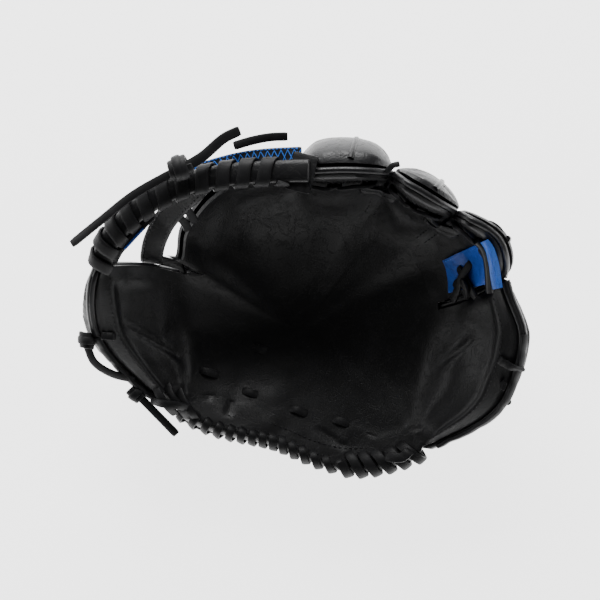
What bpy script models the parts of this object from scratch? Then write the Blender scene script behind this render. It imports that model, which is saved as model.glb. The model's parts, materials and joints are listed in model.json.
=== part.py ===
"""Leather catch glove for the left hand, lying on its back with the pocket facing up.

The pocket is a bowl whose sections fan out from one centre. A place in the glove is given by
three numbers: the angle round the centre, a share v from the centre (0) over the finger bases
and fold lines (0.5) to the rim (1), and a depth below the palm surface.
All lengths are in metres and all angles in degrees. +Y points along the fingers, the thumb
lies towards -X and the pocket opens upwards.
"""
import math

import bmesh
import bpy
from mathutils import Vector

# Overall sizes of the rim
RIM_WIDTH = 0.260          # thumb edge to little finger edge
RIM_LENGTH = 0.187         # heel edge to the index fingertip
RIM_HEIGHT = 0.143         # index fingertip above the ground
POCKET_FLOOR = 0.038       # lowest point of the palm surface above the ground

# The sizes that the rim, folds, ties and lace routes below are drawn at
DRAWN_WIDTH = 0.260
DRAWN_LENGTH = 0.187
DRAWN_HEIGHT = 0.143
DRAWN_FLOOR = 0.038

# Leather, padding and linings
LEATHER = 0.0022           # palm and back leather
LINING = 0.0011
FELT = 0.0030              # felt in the finger stalls
LOBE_FELT = 0.0045         # felt in the thumb and little finger stalls
HEEL_FELT = 0.0075         # felt in the heel
STIFFENER = 0.0016         # plastic plate in the thumb and little finger
WELT = 0.0026              # diameter of the rolled welts
LACE = 0.0046              # diameter of a lace
HEEL_STITCHES = 17         # turns of the lace along the heel
GAP = 0.0004 * (RIM_WIDTH / DRAWN_WIDTH) ** 5   # clearance between touching pieces
SLIT = 2.5                 # angle of the slit between two fingers
FOLD_GAP = 0.012 * (RIM_WIDTH / DRAWN_WIDTH) ** 4   # share of v left open beside a fold line
NOSE = 0.78                # share of v from which a fingertip rounds off

# Grid lines, the same in every layer, so that flat facets lie parallel across the gaps
INNER_ROWS = [0, 0.15, 0.29, 0.40, 0.5 - FOLD_GAP]
OUTER_ROWS = [0.58, 0.67, 0.76, 0.84, 0.91, 0.96, 1.0]
FOLD_ROW = 0.5 + FOLD_GAP
STALL_LINES = (0.0, 0.3, 0.6, 0.8, 0.96)
ARM_COLUMNS = 3            # columns of the heel grid that an arm of the back leather takes
WELT_OUT = 0.012           # how far a welt stands outside the leather, as a share of u
SLEEVE_INSET = 0.06        # wall of a stall lining at its sides, as a share of u
LOBE_SIDE = 0.96           # half width of the thumb and little finger leathers
SLEEVE_SIDE = 0.6          # half width of the felts, plates and linings in a stall

# Stall thickness, palm surface to back surface
CENTRE_THICKNESS = 0.042
HAND_THICKNESS = 0.046
BASE_THICKNESS = 0.034
FINGER_THICKNESS = 0.025
EDGE_THICKNESS = 2 * LEATHER + WELT + 2 * GAP
FINGER_CROWN = 0.006       # how far a finger bulges into the pocket
LOBE_CROWN = 0.009

# Web
BAR_WIDTH = 0.0112
BAR_THICKNESS = 0.0050
WRAP_LACE = 0.0034         # diameter of the lace that spirals round the top bar
WRAP_TURNS = 11
POST_WIDTH = 0.014
POST_THICKNESS = 0.004
MESH_WIDTH = 0.013
MESH_THICKNESS = 0.003
BAR_ROUTE = ((-0.117, 0.0265, 0.114), (-0.115, 0.042, 0.120), (-0.098, 0.060, 0.128),
             (-0.072, 0.073, 0.134), (-0.040, 0.0795, 0.138), (-0.009, 0.082, 0.140))
POST_ROUTE = ((-0.0665, 0.057, 0.119), (-0.078, 0.043, 0.106), (-0.0905, 0.0285, 0.095))
MESH_ROUTE = ((-0.060, 0.084, 0.122), (-0.040, 0.089, 0.1265), (-0.022, 0.0915, 0.128),
              (-0.010, 0.092, 0.129))
KNOT = 0.0085              # thickness of a tied knot
KNOT_ROUTE = ((-0.078, 0.0765, 0.1485), (-0.072, 0.0795, 0.149), (-0.066, 0.082, 0.1488))
LEFT_TAIL = ((-0.0795, 0.0755, 0.148), (-0.100, 0.0635, 0.144), (-0.121, 0.0475, 0.1385),
             (-0.1385, 0.034, 0.132))
RIGHT_TAIL = ((-0.0645, 0.0825, 0.1485), (-0.055, 0.090, 0.148), (-0.046, 0.097, 0.146),
              (-0.0365, 0.102, 0.143))
MESH_TAIL = ((-0.040, 0.0935, 0.1335), (-0.029, 0.0965, 0.136), (-0.018, 0.0985, 0.137),
             (-0.0075, 0.0990, 0.1365))
THUMB_TAIL = ((-0.104, -0.0655, 0.057), (-0.0985, -0.074, 0.054), (-0.091, -0.082, 0.051),
              (-0.083, -0.0895, 0.049))

# Wrist strap
STRAP_WIDTH = 0.030
STRAP_THICKNESS = 0.0026
STRAP_REACH = 0.114        # hinge end to free end
STRAP_HINGE_X = 0.050
STRAP_Y = -0.074
STRAP_LIFT = 0.0006        # strap above the ground
PATCH = 0.0013             # hook or loop patch
PATCH_LENGTH = 0.022
PATCH_INSET = 0.0022       # strap left bare at the end of a patch, and twice that at its sides
ARM_FLOOR = STRAP_LIFT + STRAP_THICKNESS + 2 * PATCH + 4 * GAP

# Blue tab over the ring and little fingertips
TAB_THICKNESS = 0.0022
TAB_ANGLES = (13.5, 30.0)
TAB_SHARES = (0.74, 0.98)
TAB_LACE = ((28, 0.79), (25, 0.82), (22, 0.84), (19, 0.87), (16.5, 0.90))

# Plan positions of the lace ties in the palm
TIES = ((-0.058, -0.047), (-0.032, -0.060), (-0.001, -0.0715), (0.0265, -0.0785),
        (-0.0265, -0.0315))
TIE_LENGTH = 0.009
TIE_CLEARANCE = 0.0012     # over the hollow of the palm
EDGE_CLEARANCE = 0.0022    # between a welt and the lace outside it, round the corners
TIP_LACE_SHARE = 0.88      # how far up the fingers the laces between them lie
THUMB_LACE = (-0.10, 0.86) # shares of the thumb's edge that its lace runs along
LITTLE_LACE = (-0.60, 0.35)

# Rim: x, y, z in metres at the drawn sizes, then how far the wall leans (90 stands upright),
# and the lengths of the two handles that shape the section
RIM = (
    ("heel", -0.019, -0.090, 0.052, 10, 0.030, 0.020),
    ("heel_left", -0.071, -0.074, 0.053, 18, 0.035, 0.025),
    ("thumb_low", -0.104, -0.050, 0.063, 32, 0.045, 0.030),
    ("thumb_side", -0.125, -0.019, 0.085, 55, 0.055, 0.040),
    ("thumb_tip", -0.125, 0.020, 0.112, 62, 0.052, 0.050),
    ("thumb_top", -0.122, 0.037, 0.120, 62, 0.045, 0.055),
    ("crotch", -0.074, 0.024, 0.082, 52, 0.036, 0.032),
    ("crotch_up", -0.070, 0.042, 0.089, 60, 0.042, 0.038),
    ("web_side", -0.046, 0.067, 0.112, 80, 0.050, 0.050),
    ("index_foot", -0.015, 0.073, 0.125, 95, 0.055, 0.052),
    ("index_left", -0.002, 0.074, 0.138, 105, 0.060, 0.055),
    ("index_right", 0.051, 0.072, 0.143, 105, 0.062, 0.055),
    ("middle_tip", 0.088, 0.052, 0.139, 101, 0.065, 0.055),
    ("ring_tip", 0.120, 0.032, 0.126, 95, 0.073, 0.052),
    ("little_tip", 0.126, 0.005, 0.108, 76, 0.070, 0.045),
    ("little_side", 0.135, -0.025, 0.095, 60, 0.068, 0.040),
    ("little_low", 0.127, -0.060, 0.078, 48, 0.060, 0.035),
    ("heel_corner", 0.090, -0.090, 0.059, 20, 0.050, 0.030),
    ("heel_right", 0.045, -0.108, 0.050, 6, 0.040, 0.028),
)
CENTRE_Y = -0.020          # the sections fan out from here, at x = 0

# Fold lines in plan, from the finger end to the heel end
THUMB_FOLD = ((-0.072, 0.024), (-0.066, -0.072))
LITTLE_FOLD = ((0.086, 0.003), (0.066, -0.093))

# Borders between the stalls: angle at v = 0.5 and angle at the rim
HEEL_LITTLE = (-43.0, -43.0)
LITTLE_RING = (10.0, 15.0)
RING_MIDDLE = (37.0, 37.5)
MIDDLE_INDEX = (59.0, 60.0)
INDEX_WEB = (93.0, 93.0)
WEB_THUMB = (150.0, 150.0)
THUMB_TOP = (153.5, 161.5)
THUMB_HEEL = (210.0, 210.0)
HEEL_START = 213.0
HEEL_END = 315.0

# Radius of the line v = 0.5 where it isn't a fold line: angle, radius
BASE_LINE = ((25, 0.086), (48, 0.076), (76, 0.066), (100, 0.063), (128, 0.067), (148, 0.079),
             (217, 0.062), (255, 0.046), (297, 0.062))

LEATHER_BLACK = (0.012, 0.012, 0.014)
BACK_BLACK = (0.028, 0.028, 0.031)
LACE_BLACK = (0.018, 0.018, 0.020)
FELT_GREY = (0.30, 0.30, 0.29)
LINING_GREY = (0.10, 0.10, 0.11)
BLUE = (0.018, 0.085, 0.42)
PLASTIC_WHITE = (0.55, 0.55, 0.53)


def blend(low, high, share):
    """Mix two numbers or vectors."""
    return low + (high - low) * share


def smooth(low, high, value):
    """Ease from 0 at low to 1 at high."""
    share = min(max((value - low) / (high - low), 0.0), 1.0)
    return share * share * (3 - 2 * share)


def curve_through(stops, value, period=None):
    """Read a smooth curve that passes through (place, amount) stops without overshooting."""
    if period:
        value = (value - stops[0][0]) % period + stops[0][0]
        wrapped_end = [(stops[0][0] + period, stops[0][1]), (stops[1][0] + period, stops[1][1])]
        stops = [(stops[-1][0] - period, stops[-1][1])] + list(stops) + wrapped_end
    for index in range(len(stops) - 1):
        if value <= stops[index + 1][0]:
            break

    def grade(left):
        (x0, y0), (x1, y1) = stops[left], stops[left + 1]
        return (y1 - y0) / (x1 - x0)

    def slope(at):
        if at == 0 or at == len(stops) - 1:
            return 0.0
        before, after = grade(at - 1), grade(at)
        return 0.0 if before * after <= 0 else 2 * before * after / (before + after)

    (x0, y0), (x1, y1) = stops[index], stops[index + 1]
    span = x1 - x0
    s = min(max((value - x0) / span, 0.0), 1.0)
    return (y0 * (1 + 2 * s) * (1 - s) ** 2 + y1 * s * s * (3 - 2 * s)
            + span * s * (1 - s) * (slope(index) * (1 - s) - slope(index + 1) * s))


def fitted(point):
    """A drawn place, moved with the rim when the size of the glove is changed."""
    x, y, z = point
    rise = (RIM_HEIGHT - POCKET_FLOOR) / (DRAWN_HEIGHT - DRAWN_FLOOR)
    return Vector((x * RIM_WIDTH / DRAWN_WIDTH,
                   CENTRE_Y + (y - CENTRE_Y) * RIM_LENGTH / DRAWN_LENGTH,
                   POCKET_FLOOR + (z - DRAWN_FLOOR) * rise))


def rim_columns():
    """Turn the rim points into curves of radius, height, lean and handles over the angle."""
    rows = []
    for _, x, y, z, lean, start, end in RIM:
        place_x, place_y, height = fitted((x, y, z))
        radius = math.hypot(place_x, place_y - CENTRE_Y)
        size = radius / math.hypot(x, y - CENTRE_Y)
        angle = math.degrees(math.atan2(place_y - CENTRE_Y, place_x)) % 360
        rows.append((angle, radius, height, lean, start * size, end * size))
    rows.sort()
    return [[(row[0], row[column]) for row in rows] for column in range(1, 6)]


RIM_CURVES = rim_columns()


def section(angle):
    """The four control points of the section at an angle, as (radius, height)."""
    radius, height, lean, start, end = (curve_through(c, angle, 360) for c in RIM_CURVES)
    lean = math.radians(lean)
    return (Vector((0, POCKET_FLOOR)), Vector((start, POCKET_FLOOR)),
            Vector((radius - end * math.cos(lean), height - end * math.sin(lean))),
            Vector((radius, height)))


def on_section(points, t):
    """A point of the section and its direction."""
    p0, p1, p2, p3 = points
    place = (p0 * (1 - t) ** 3 + p1 * 3 * t * (1 - t) ** 2 + p2 * 3 * t * t * (1 - t) + p3 * t ** 3)
    way = (p1 - p0) * (1 - t) ** 2 + (p2 - p1) * 2 * t * (1 - t) + (p3 - p2) * t * t
    return place, way.normalized()


def share_at_radius(points, radius, limit=0.75):
    """The place along a section, up to a limit, where it reaches a radius."""
    low, high = 0.0, limit
    for _ in range(30):
        middle = (low + high) / 2
        if on_section(points, middle)[0].x < radius:
            low = middle
        else:
            high = middle
    return low


def fold_radius(line, angle):
    """Distance from the centre to a fold line, seen in plan."""
    (x0, y0), (x1, y1) = line
    x0, x1 = (x * RIM_WIDTH / DRAWN_WIDTH for x in (x0, x1))
    y0, y1 = ((y - CENTRE_Y) * RIM_LENGTH / DRAWN_LENGTH for y in (y0, y1))
    dx, dy = x1 - x0, y1 - y0
    c, s = math.cos(math.radians(angle)), math.sin(math.radians(angle))
    return (x0 * dy - y0 * dx) / (c * dy - s * dx)


def base_stops():
    """The line v = 0.5 all the way round: fold lines at the sides, finger bases between."""
    scale = min(RIM_WIDTH / DRAWN_WIDTH, RIM_LENGTH / DRAWN_LENGTH)
    stops = [(angle, radius * scale) for angle, radius in BASE_LINE]
    stops += [(angle, fold_radius(THUMB_FOLD, angle)) for angle in (153, 165, 180, 195, 209)]
    stops += [(angle % 360, fold_radius(LITTLE_FOLD, angle)) for angle in (-43, -30, -15, 0, 10)]
    return sorted(stops)


BASE_STOPS = base_stops()


def base_radius(angle):
    return curve_through(BASE_STOPS, angle % 360, 360)


def heel_share(angle):
    """1 over the wrist opening, 0 over the fingers."""
    angle = angle % 360
    return smooth(190, 212, angle) * (1 - smooth(314, 336, angle))


def web_share(angle):
    """1 over the leather between index finger and thumb, which has no stall behind it."""
    angle = angle % 360
    return smooth(85, 94, angle) * (1 - smooth(149.5, 152.5, angle))


def stall_thickness(angle, v):
    """Palm surface to back surface, before the stall is pinched at its edges."""
    finger = curve_through(((0, CENTRE_THICKNESS), (0.25, HAND_THICKNESS), (0.5, BASE_THICKNESS),
                            (0.7, FINGER_THICKNESS + 0.002), (1, FINGER_THICKNESS)), v)
    heel = curve_through(((0, CENTRE_THICKNESS), (0.25, HAND_THICKNESS), (1, HAND_THICKNESS)), v)
    web = curve_through(((0, CENTRE_THICKNESS), (0.25, HAND_THICKNESS), (0.5, BASE_THICKNESS),
                         (0.68, EDGE_THICKNESS + 0.004), (0.85, EDGE_THICKNESS)), v)
    thick = blend(finger, heel, heel_share(angle))
    return blend(thick, web, web_share(angle))


def back_floor(y):
    """Lowest height of the back surface: the ground, or clear of the wrist strap."""
    strap_edge = STRAP_Y + STRAP_WIDTH / 2
    return ARM_FLOOR * (1 - smooth(strap_edge + 0.003, strap_edge + 0.016, y))


class Stall:
    """One petal of the glove, with a side-to-side share u from -1 to 1."""

    def __init__(self, low, high, crown, notch):
        self.low, self.high, self.crown, self.notch = low, high, crown, notch

    def angle(self, u, v):
        """The angle at share u, with the borders turning from the base to the rim."""
        t = max(2 * v - 1, 0)
        low, high = blend(*self.low, t), blend(*self.high, t)
        return blend(low, high, (u + 1) / 2)

    def swell(self, u, v):
        """1 in the middle of the stall, falling to 0 at its stitched edges."""
        nose = max((v - NOSE) / (1 - NOSE), 0)
        return (1 - smooth(0.5, 0.6, v) * abs(u) ** 3) * math.sqrt(max(1 - nose * nose, 0))

    def at(self, u, v, depth, out=0.0, base=False):
        """A place in the stall; depth is a length or a function of the full thickness."""
        angle = self.angle(u, v)
        tip = v - self.notch * abs(u) ** 4 * smooth(0.6, 1, v)
        full = EDGE_THICKNESS
        full += (stall_thickness(angle, tip) - EDGE_THICKNESS) * self.swell(u, v)
        crown = 0 if base else self.crown * smooth(0.5, 0.7, v) * self.swell(u, v) * (1 - u * u)
        return place(angle, tip, depth, full, crown, out)


def place(angle, v, depth, full, crown=0.0, out=0.0):
    """Depth is measured from the palm surface, or from the back surface if it is negative."""
    points = section(angle)
    middle = share_at_radius(points, base_radius(angle))
    if v <= 0.5:
        t = share_at_radius(points, base_radius(angle) * 2 * v) if v > 0 else 0
    else:
        t = blend(middle, 1, 2 * v - 1)
    (radius, height), way = on_section(points, t)
    above_back = -depth if depth < 0 else None
    if depth < 0:
        depth += full + crown
    radius += way.y * (depth - crown) + way.x * out
    height += -way.x * (depth - crown) + way.y * out
    turn = math.radians(angle)
    x, y = radius * math.cos(turn), CENTRE_Y + radius * math.sin(turn)
    if above_back is not None:
        height = max(height, back_floor(y) + above_back)
    return Vector((x, y, height))


STALLS = {
    "index": Stall(MIDDLE_INDEX, INDEX_WEB, FINGER_CROWN, 0.07),
    "middle": Stall(RING_MIDDLE, MIDDLE_INDEX, FINGER_CROWN, 0.10),
    "ring": Stall(LITTLE_RING, RING_MIDDLE, FINGER_CROWN, 0.10),
    "thumb": Stall(THUMB_TOP, THUMB_HEEL, LOBE_CROWN, 0.05),
    "little": Stall(HEEL_LITTLE, LITTLE_RING, LOBE_CROWN, 0.06),
}


def hand_stall(angle):
    """The stall that holds an angle, or None over the web side and the heel."""
    angle = (angle + 60) % 360 - 60
    for name in ("ring", "middle", "index"):
        stall = STALLS[name]
        if stall.low[0] <= angle <= stall.high[0]:
            return stall
    return None


def in_hand(angle, v, depth, out=0.0):
    """A place in the hand part: a stall beyond the finger bases, the plain bowl elsewhere."""
    stall = hand_stall(angle)
    if stall:
        flat_angle = (angle + 60) % 360 - 60
        u = 2 * (flat_angle - stall.low[0]) / (stall.high[0] - stall.low[0]) - 1
        return stall.at(u, v, depth, out)
    return place(angle, v, depth, stall_thickness(angle, v), 0.0, out)


def over_palm(x, y, lift):
    """A place above the plain palm surface, found from its plan position."""
    radius = math.hypot(x, y - CENTRE_Y)
    angle = math.degrees(math.atan2(y - CENTRE_Y, x))
    points = section(angle)
    (_, height), way = on_section(points, share_at_radius(points, radius, 0.98))
    return Vector((x - way.y * lift * x / radius, y - way.y * lift * (y - CENTRE_Y) / radius,
                   height + way.x * lift))


def material(name, colour, roughness, metallic=0.0):
    made = bpy.data.materials.new(name)
    made.use_nodes = True
    shader = made.node_tree.nodes["Principled BSDF"]
    shader.inputs["Base Color"].default_value = (*colour, 1)
    shader.inputs["Roughness"].default_value = roughness
    shader.inputs["Metallic"].default_value = metallic
    made.diffuse_color = (*colour, 1)
    return made


def finish(name, mesh, colour, roughness):
    """Put a mesh in the glove's collection with a material of its own."""
    piece = bpy.data.objects.new(name, mesh)
    mesh.materials.clear()
    mesh.materials.append(material(name, colour, roughness))
    mesh.shade_smooth()
    mesh.set_sharp_from_angle(angle=math.radians(40))
    bpy.data.collections["catch_glove"].objects.link(piece)
    return piece


def sheet(name, columns, rows, where, colour, roughness=0.5, keep=None, closed=False):
    """A sheet with a thickness: where(a, b, w) places it, with w 0 on one face, 1 on the other.

    columns and rows list the values of a and b. The grid is laid out flat, thickened by one
    unit, and then every corner is moved to its place. A closed sheet joins its last column to
    its first, and meets in one point where b is 0.
    """
    bm = bmesh.new()
    bmesh.ops.create_grid(bm, x_segments=len(columns) - 1, y_segments=len(rows) - 1, size=0.5)
    for vert in bm.verts:
        column = round((vert.co.x + 0.5) * (len(columns) - 1))
        row = round((vert.co.y + 0.5) * (len(rows) - 1))
        vert.co = Vector((columns[column], rows[row], 0))
    if keep:
        stray = [f for f in bm.faces if not keep(*f.calc_center_median().xy)]
        bmesh.ops.delete(bm, geom=stray, context="FACES")
    if closed:
        for vert in bm.verts:
            turn, reach = math.radians(vert.co.x), vert.co.y
            vert.co = Vector((reach * math.cos(turn), reach * math.sin(turn), 0))
        bmesh.ops.remove_doubles(bm, verts=bm.verts, dist=0.0001)
    bmesh.ops.recalc_face_normals(bm, faces=bm.faces)
    if bm.faces[:][0].normal.z < 0:
        bmesh.ops.reverse_faces(bm, faces=bm.faces)
    bmesh.ops.solidify(bm, geom=bm.faces[:], thickness=1)
    top = max(vert.co.z for vert in bm.verts)
    for vert in bm.verts:
        a, b = vert.co.x, vert.co.y
        if closed:
            a, b = math.degrees(math.atan2(b, a)) % 360, math.hypot(a, b)
        vert.co = where(a, b, top - vert.co.z)
    if bm.calc_volume(signed=True) < 0:
        bmesh.ops.reverse_faces(bm, faces=bm.faces)
    bmesh.ops.triangulate(bm, faces=bm.faces[:])
    mesh = bpy.data.meshes.new(name)
    bm.to_mesh(mesh)
    bm.free()
    return finish(name, mesh, colour, roughness)


def cord(name, points, diameter, colour=LACE_BLACK, roughness=0.5, loop=False):
    """A round tube with closed ends along a list of points."""
    curve = bpy.data.curves.new(name, "CURVE")
    curve.dimensions = "3D"
    curve.bevel_depth = diameter / 2
    curve.bevel_resolution = 2
    curve.use_fill_caps = True
    spline = curve.splines.new("POLY")
    spline.points.add(len(points) - 1)
    for point, place_of in zip(spline.points, points):
        point.co = (*place_of, 1)
    spline.use_cyclic_u = loop
    curve.materials.append(material(name, colour, roughness))
    piece = bpy.data.objects.new(name, curve)
    bpy.data.collections["catch_glove"].objects.link(piece)
    return piece


def spaced(low, high, count):
    """Evenly spaced values, both ends included."""
    return [blend(low, high, index / (count - 1)) for index in range(count)]


def smooth_route(stops, count):
    """A smooth open curve through 3-D stops, as evenly counted points."""
    stops = [fitted(stop) for stop in stops]
    reach = [0.0]
    for before, after in zip(stops, stops[1:]):
        reach.append(reach[-1] + (after - before).length)
    axes = [list(zip(reach, [stop[axis] for stop in stops])) for axis in range(3)]

    def read(curve, value):
        for index in range(len(curve) - 1):
            if value <= curve[index + 1][0]:
                break
        ends = max(index - 1, 0), min(index + 2, len(curve) - 1)
        (x0, y0), (x1, y1) = curve[index], curve[index + 1]
        start = (y1 - curve[ends[0]][1]) / (x1 - curve[ends[0]][0])
        end = (curve[ends[1]][1] - y0) / (curve[ends[1]][0] - x0)
        span = x1 - x0
        s = min(max((value - x0) / span, 0.0), 1.0)
        return (y0 * (1 + 2 * s) * (1 - s) ** 2 + y1 * s * s * (3 - 2 * s)
                + span * s * (1 - s) * (start * (1 - s) - end * s))

    return [Vector([read(curve, value) for curve in axes]) for value in spaced(0, reach[-1], count)]


def layer(top, bottom):
    """Depths of the two faces of a layer, as a function of w."""
    return lambda w: blend(top, bottom, w)


PALM = layer(0.0, LEATHER)
BACK = layer(-LEATHER, -1e-9)
UNDER_PALM = LEATHER + GAP


def stall_sheet(name, stall, side, rows, depth, colour, roughness=0.5):
    """A layer of one stall, out to a share of its width."""
    return sheet(name, stall_lines(side), rows,
                 lambda u, v, w: STALLS[stall].at(u, v, depth(w)), colour, roughness)


def stall_lining(name, stall, side, top, bottom, rows):
    """A flattened sleeve inside a stall, open at both ends."""
    def where(turn, b, w):
        v = b - 1
        across, lift = math.cos(math.radians(turn)), math.sin(math.radians(turn))
        u = (side - SLEEVE_INSET * w) * across
        angle = STALLS[stall].angle(u, v)
        swell = STALLS[stall].swell(u, v)
        full = EDGE_THICKNESS + (stall_thickness(angle, v) - EDGE_THICKNESS) * swell
        full += STALLS[stall].crown * smooth(0.5, 0.7, v) * swell * (1 - u * u)
        middle, half = (top + full - bottom) / 2, (full - bottom - top) / 2
        return STALLS[stall].at(u, v, middle + (half - LINING * w) * lift)
    half_way = [math.degrees(math.acos(line / side)) for line in reversed(stall_lines(side))]
    turns = half_way + [360 - turn for turn in reversed(half_way[:-1])]
    return sheet(name, turns, [1 + v for v in rows], where, LINING_GREY, 0.8, closed=True)


def stall_welt(name, stall, side, start):
    """The rolled welt up one side of a stall, over its tip and down the other side."""
    at = STALLS[stall].at
    depth = LEATHER + GAP + WELT / 2
    sides = spaced(start, 0.97, 8)
    tip = [side * share for share in (-0.93, -0.75, -0.5, -0.25, 0, 0.25, 0.5, 0.75, 0.93)]
    edge = side + WELT_OUT
    route = [at(-edge, v, depth, base=True) for v in sides]
    route += [at(u, 1.0, depth, GAP, base=True) for u in tip]
    route += [at(edge, v, depth, base=True) for v in reversed(sides)]
    return cord(name, route, WELT, BACK_BLACK)


def palm_columns():
    """Angles of the palm grid, once round from the heel, with a narrow column for each slit."""
    columns = list(HEEL_COLUMNS)
    columns += spaced(HEEL_END, 360 + LITTLE_RING[0] + SLIT / 2, 7)[1:]
    for name in ("ring", "middle", "index"):
        stall = STALLS[name]
        lines = stall_lines(slit_side(name))
        if name == "index":
            lines = lines[:-1] + [1.0]
        angles = [360 + stall.angle(line, 0.5) for line in lines]
        columns += [angle for angle in angles if angle > columns[-1] + 0.1]
    columns += spaced(360 + INDEX_WEB[0], 360 + WEB_THUMB[0], 7)[1:]
    columns += spaced(360 + WEB_THUMB[0], 360 + HEEL_START, 8)[1:]
    return columns


def in_range(angle, low, high):
    return (angle - low) % 360 < (high - low) % 360


def near_slit(angle):
    return any(abs((angle - border[0] + 180) % 360 - 180) < SLIT / 2
               for border in (RING_MIDDLE, MIDDLE_INDEX))


def palm_keep(angle, v):
    """The palm leather reaches the rim at the fingers, the web side and the heel."""
    if v < 0.5:
        return True
    reaches = in_range(angle, LITTLE_RING[0] + SLIT / 2, WEB_THUMB[0])
    return (reaches or in_range(angle, HEEL_START, HEEL_END)) and not near_slit(angle)


def stall_lines(side):
    """The lines across a stall out to a share of its width."""
    lines = [line for line in STALL_LINES if line < side - 0.01] + [side]
    return [-line for line in reversed(lines[1:])] + lines


def slit_side(name):
    """Half width of a finger as a share of its sector, between its slits."""
    stall = STALLS[name]
    return 1 - SLIT / (stall.high[0] - stall.low[0])


def rows_within(low, high):
    return [row for row in INNER_ROWS + OUTER_ROWS if low <= row <= high]


HEEL_COLUMNS = spaced(HEEL_START, HEEL_END, 13)


def make_palm():
    """Palm leather, its lining, the felt in the heel and the band that closes the heel edge."""
    columns = palm_columns()
    sheet("palm_leather", columns, INNER_ROWS + OUTER_ROWS,
          lambda a, v, w: in_hand(a, v, PALM(w)), LEATHER_BLACK, 0.45, palm_keep, closed=True)
    sheet("heel_felt", HEEL_COLUMNS[1:-1], rows_within(0.29, 0.96),
          lambda a, v, w: in_hand(a, v, UNDER_PALM + HEEL_FELT * w), FELT_GREY, 0.9)

    def lining_depth(angle, v):
        pad = smooth(185, HEEL_START, angle % 360) * (1 - smooth(HEEL_END, 340, angle % 360))
        return UNDER_PALM + (HEEL_FELT + GAP) * pad * smooth(0.15, 0.29, v)

    def lining_keep(angle, v):
        return v < 0.40 or (v < 0.96 and in_range(angle, HEEL_START, HEEL_END))

    sheet("palm_lining", columns, rows_within(0, 0.96),
          lambda a, v, w: in_hand(a, v, lining_depth(a, v) + LINING * w),
          LINING_GREY, 0.8, lining_keep, closed=True)

    band = UNDER_PALM + HEEL_FELT + GAP + LINING
    sheet("heel_band", HEEL_COLUMNS, [0, 0.5, 1],
          lambda a, b, w: place(a, 1, b * band, stall_thickness(a, 1), 0, GAP + LEATHER * (1 - w)),
          BACK_BLACK, 0.45)


def make_heel_lace():
    """The lace that whips over the heel edge, drawn as a wave just outside the band."""
    lift = 2 * GAP + LEATHER + LACE / 2
    depth = UNDER_PALM + HEEL_FELT / 2
    route = []
    for index, angle in enumerate(spaced(HEEL_START + 2, HEEL_END - 2, 2 * HEEL_STITCHES + 1)):
        swing = (index % 2 - 0.5) * HEEL_FELT
        route.append(place(angle, 1, depth + swing, stall_thickness(angle, 1), 0, lift))
    cord("heel_lace", route, LACE)


def make_back():
    """Back leather with an arm on each side of the wrist opening, and its lining."""
    left_arm, right_arm = HEEL_COLUMNS[ARM_COLUMNS], HEEL_COLUMNS[-1 - ARM_COLUMNS]

    def keep(angle, v):
        if v < 0.29:
            return True
        if in_range(angle, left_arm, right_arm):
            return False
        if in_range(angle, HEEL_START, HEEL_END):
            return v < 0.91
        return v < 0.5 or in_range(angle, INDEX_WEB[0] + 1, WEB_THUMB[0])

    def lining_keep(angle, v):
        return v < 0.15 or (v < 0.40 and not in_range(angle, HEEL_START - 20, HEEL_END + 20))

    columns = list(HEEL_COLUMNS) + spaced(HEEL_END, 360 + INDEX_WEB[0] + 1, 16)[1:]
    columns += spaced(360 + INDEX_WEB[0] + 1, 360 + WEB_THUMB[0], 7)[1:]
    columns += spaced(360 + WEB_THUMB[0], 360 + HEEL_START, 8)[1:]
    sheet("back_leather", columns, INNER_ROWS + OUTER_ROWS,
          lambda a, v, w: place(a, v, BACK(w), stall_thickness(a, v)), BACK_BLACK, 0.42,
          keep, closed=True)
    under = LEATHER + GAP
    sheet("back_lining", columns, rows_within(0, 0.40),
          lambda a, v, w: place(a, v, -under - LINING * (1 - w), stall_thickness(a, v)),
          LINING_GREY, 0.8, lining_keep, closed=True)


def make_fingers():
    """Back leather, felt, lining and welt of the index, middle and ring fingers."""
    for finger in ("index", "middle", "ring"):
        side = slit_side(finger)
        stall_sheet(finger + "_back", finger, side, [FOLD_ROW] + OUTER_ROWS, BACK,
                    BACK_BLACK, 0.42)
        stall_sheet(finger + "_felt", finger, SLEEVE_SIDE, rows_within(0.58, 0.84),
                    layer(UNDER_PALM, UNDER_PALM + FELT), FELT_GREY, 0.9)
        stall_lining(finger + "_lining", finger, SLEEVE_SIDE, UNDER_PALM + FELT + GAP,
                     LEATHER + GAP, rows_within(0.58, 0.84))
        stall_welt(finger + "_welt", finger, side, 0.60)


def make_lobe(name):
    """The thumb or little finger part: two leathers, felt, plate, lining and welt."""
    rows = [FOLD_ROW] + OUTER_ROWS
    stall_sheet(name + "_palm_leather", name, LOBE_SIDE, rows, PALM, LEATHER_BLACK, 0.45)
    stall_sheet(name + "_back_leather", name, LOBE_SIDE, rows, BACK, BACK_BLACK, 0.42)
    stall_sheet(name + "_felt", name, SLEEVE_SIDE, rows_within(0.58, 0.84),
                layer(UNDER_PALM, UNDER_PALM + LOBE_FELT), FELT_GREY, 0.9)
    stall_sheet(name + "_stiffener", name, SLEEVE_SIDE, rows_within(0.58, 0.84),
                layer(-LEATHER - GAP - STIFFENER, -LEATHER - GAP), PLASTIC_WHITE, 0.4)
    stall_lining(name + "_lining", name, SLEEVE_SIDE, UNDER_PALM + LOBE_FELT + GAP,
                 LEATHER + STIFFENER + 2 * GAP, rows_within(0.58, 0.84))
    stall_welt(name + "_welt", name, LOBE_SIDE, 0.56)


def frames(points):
    """A side and an up direction at each point of a route, the side kept level."""
    result = []
    for index in range(len(points)):
        ahead = points[min(index + 1, len(points) - 1)] - points[max(index - 1, 0)]
        side = ahead.cross(Vector((0, 0, 1))).normalized()
        result.append((side, side.cross(ahead).normalized()))
    return result


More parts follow.
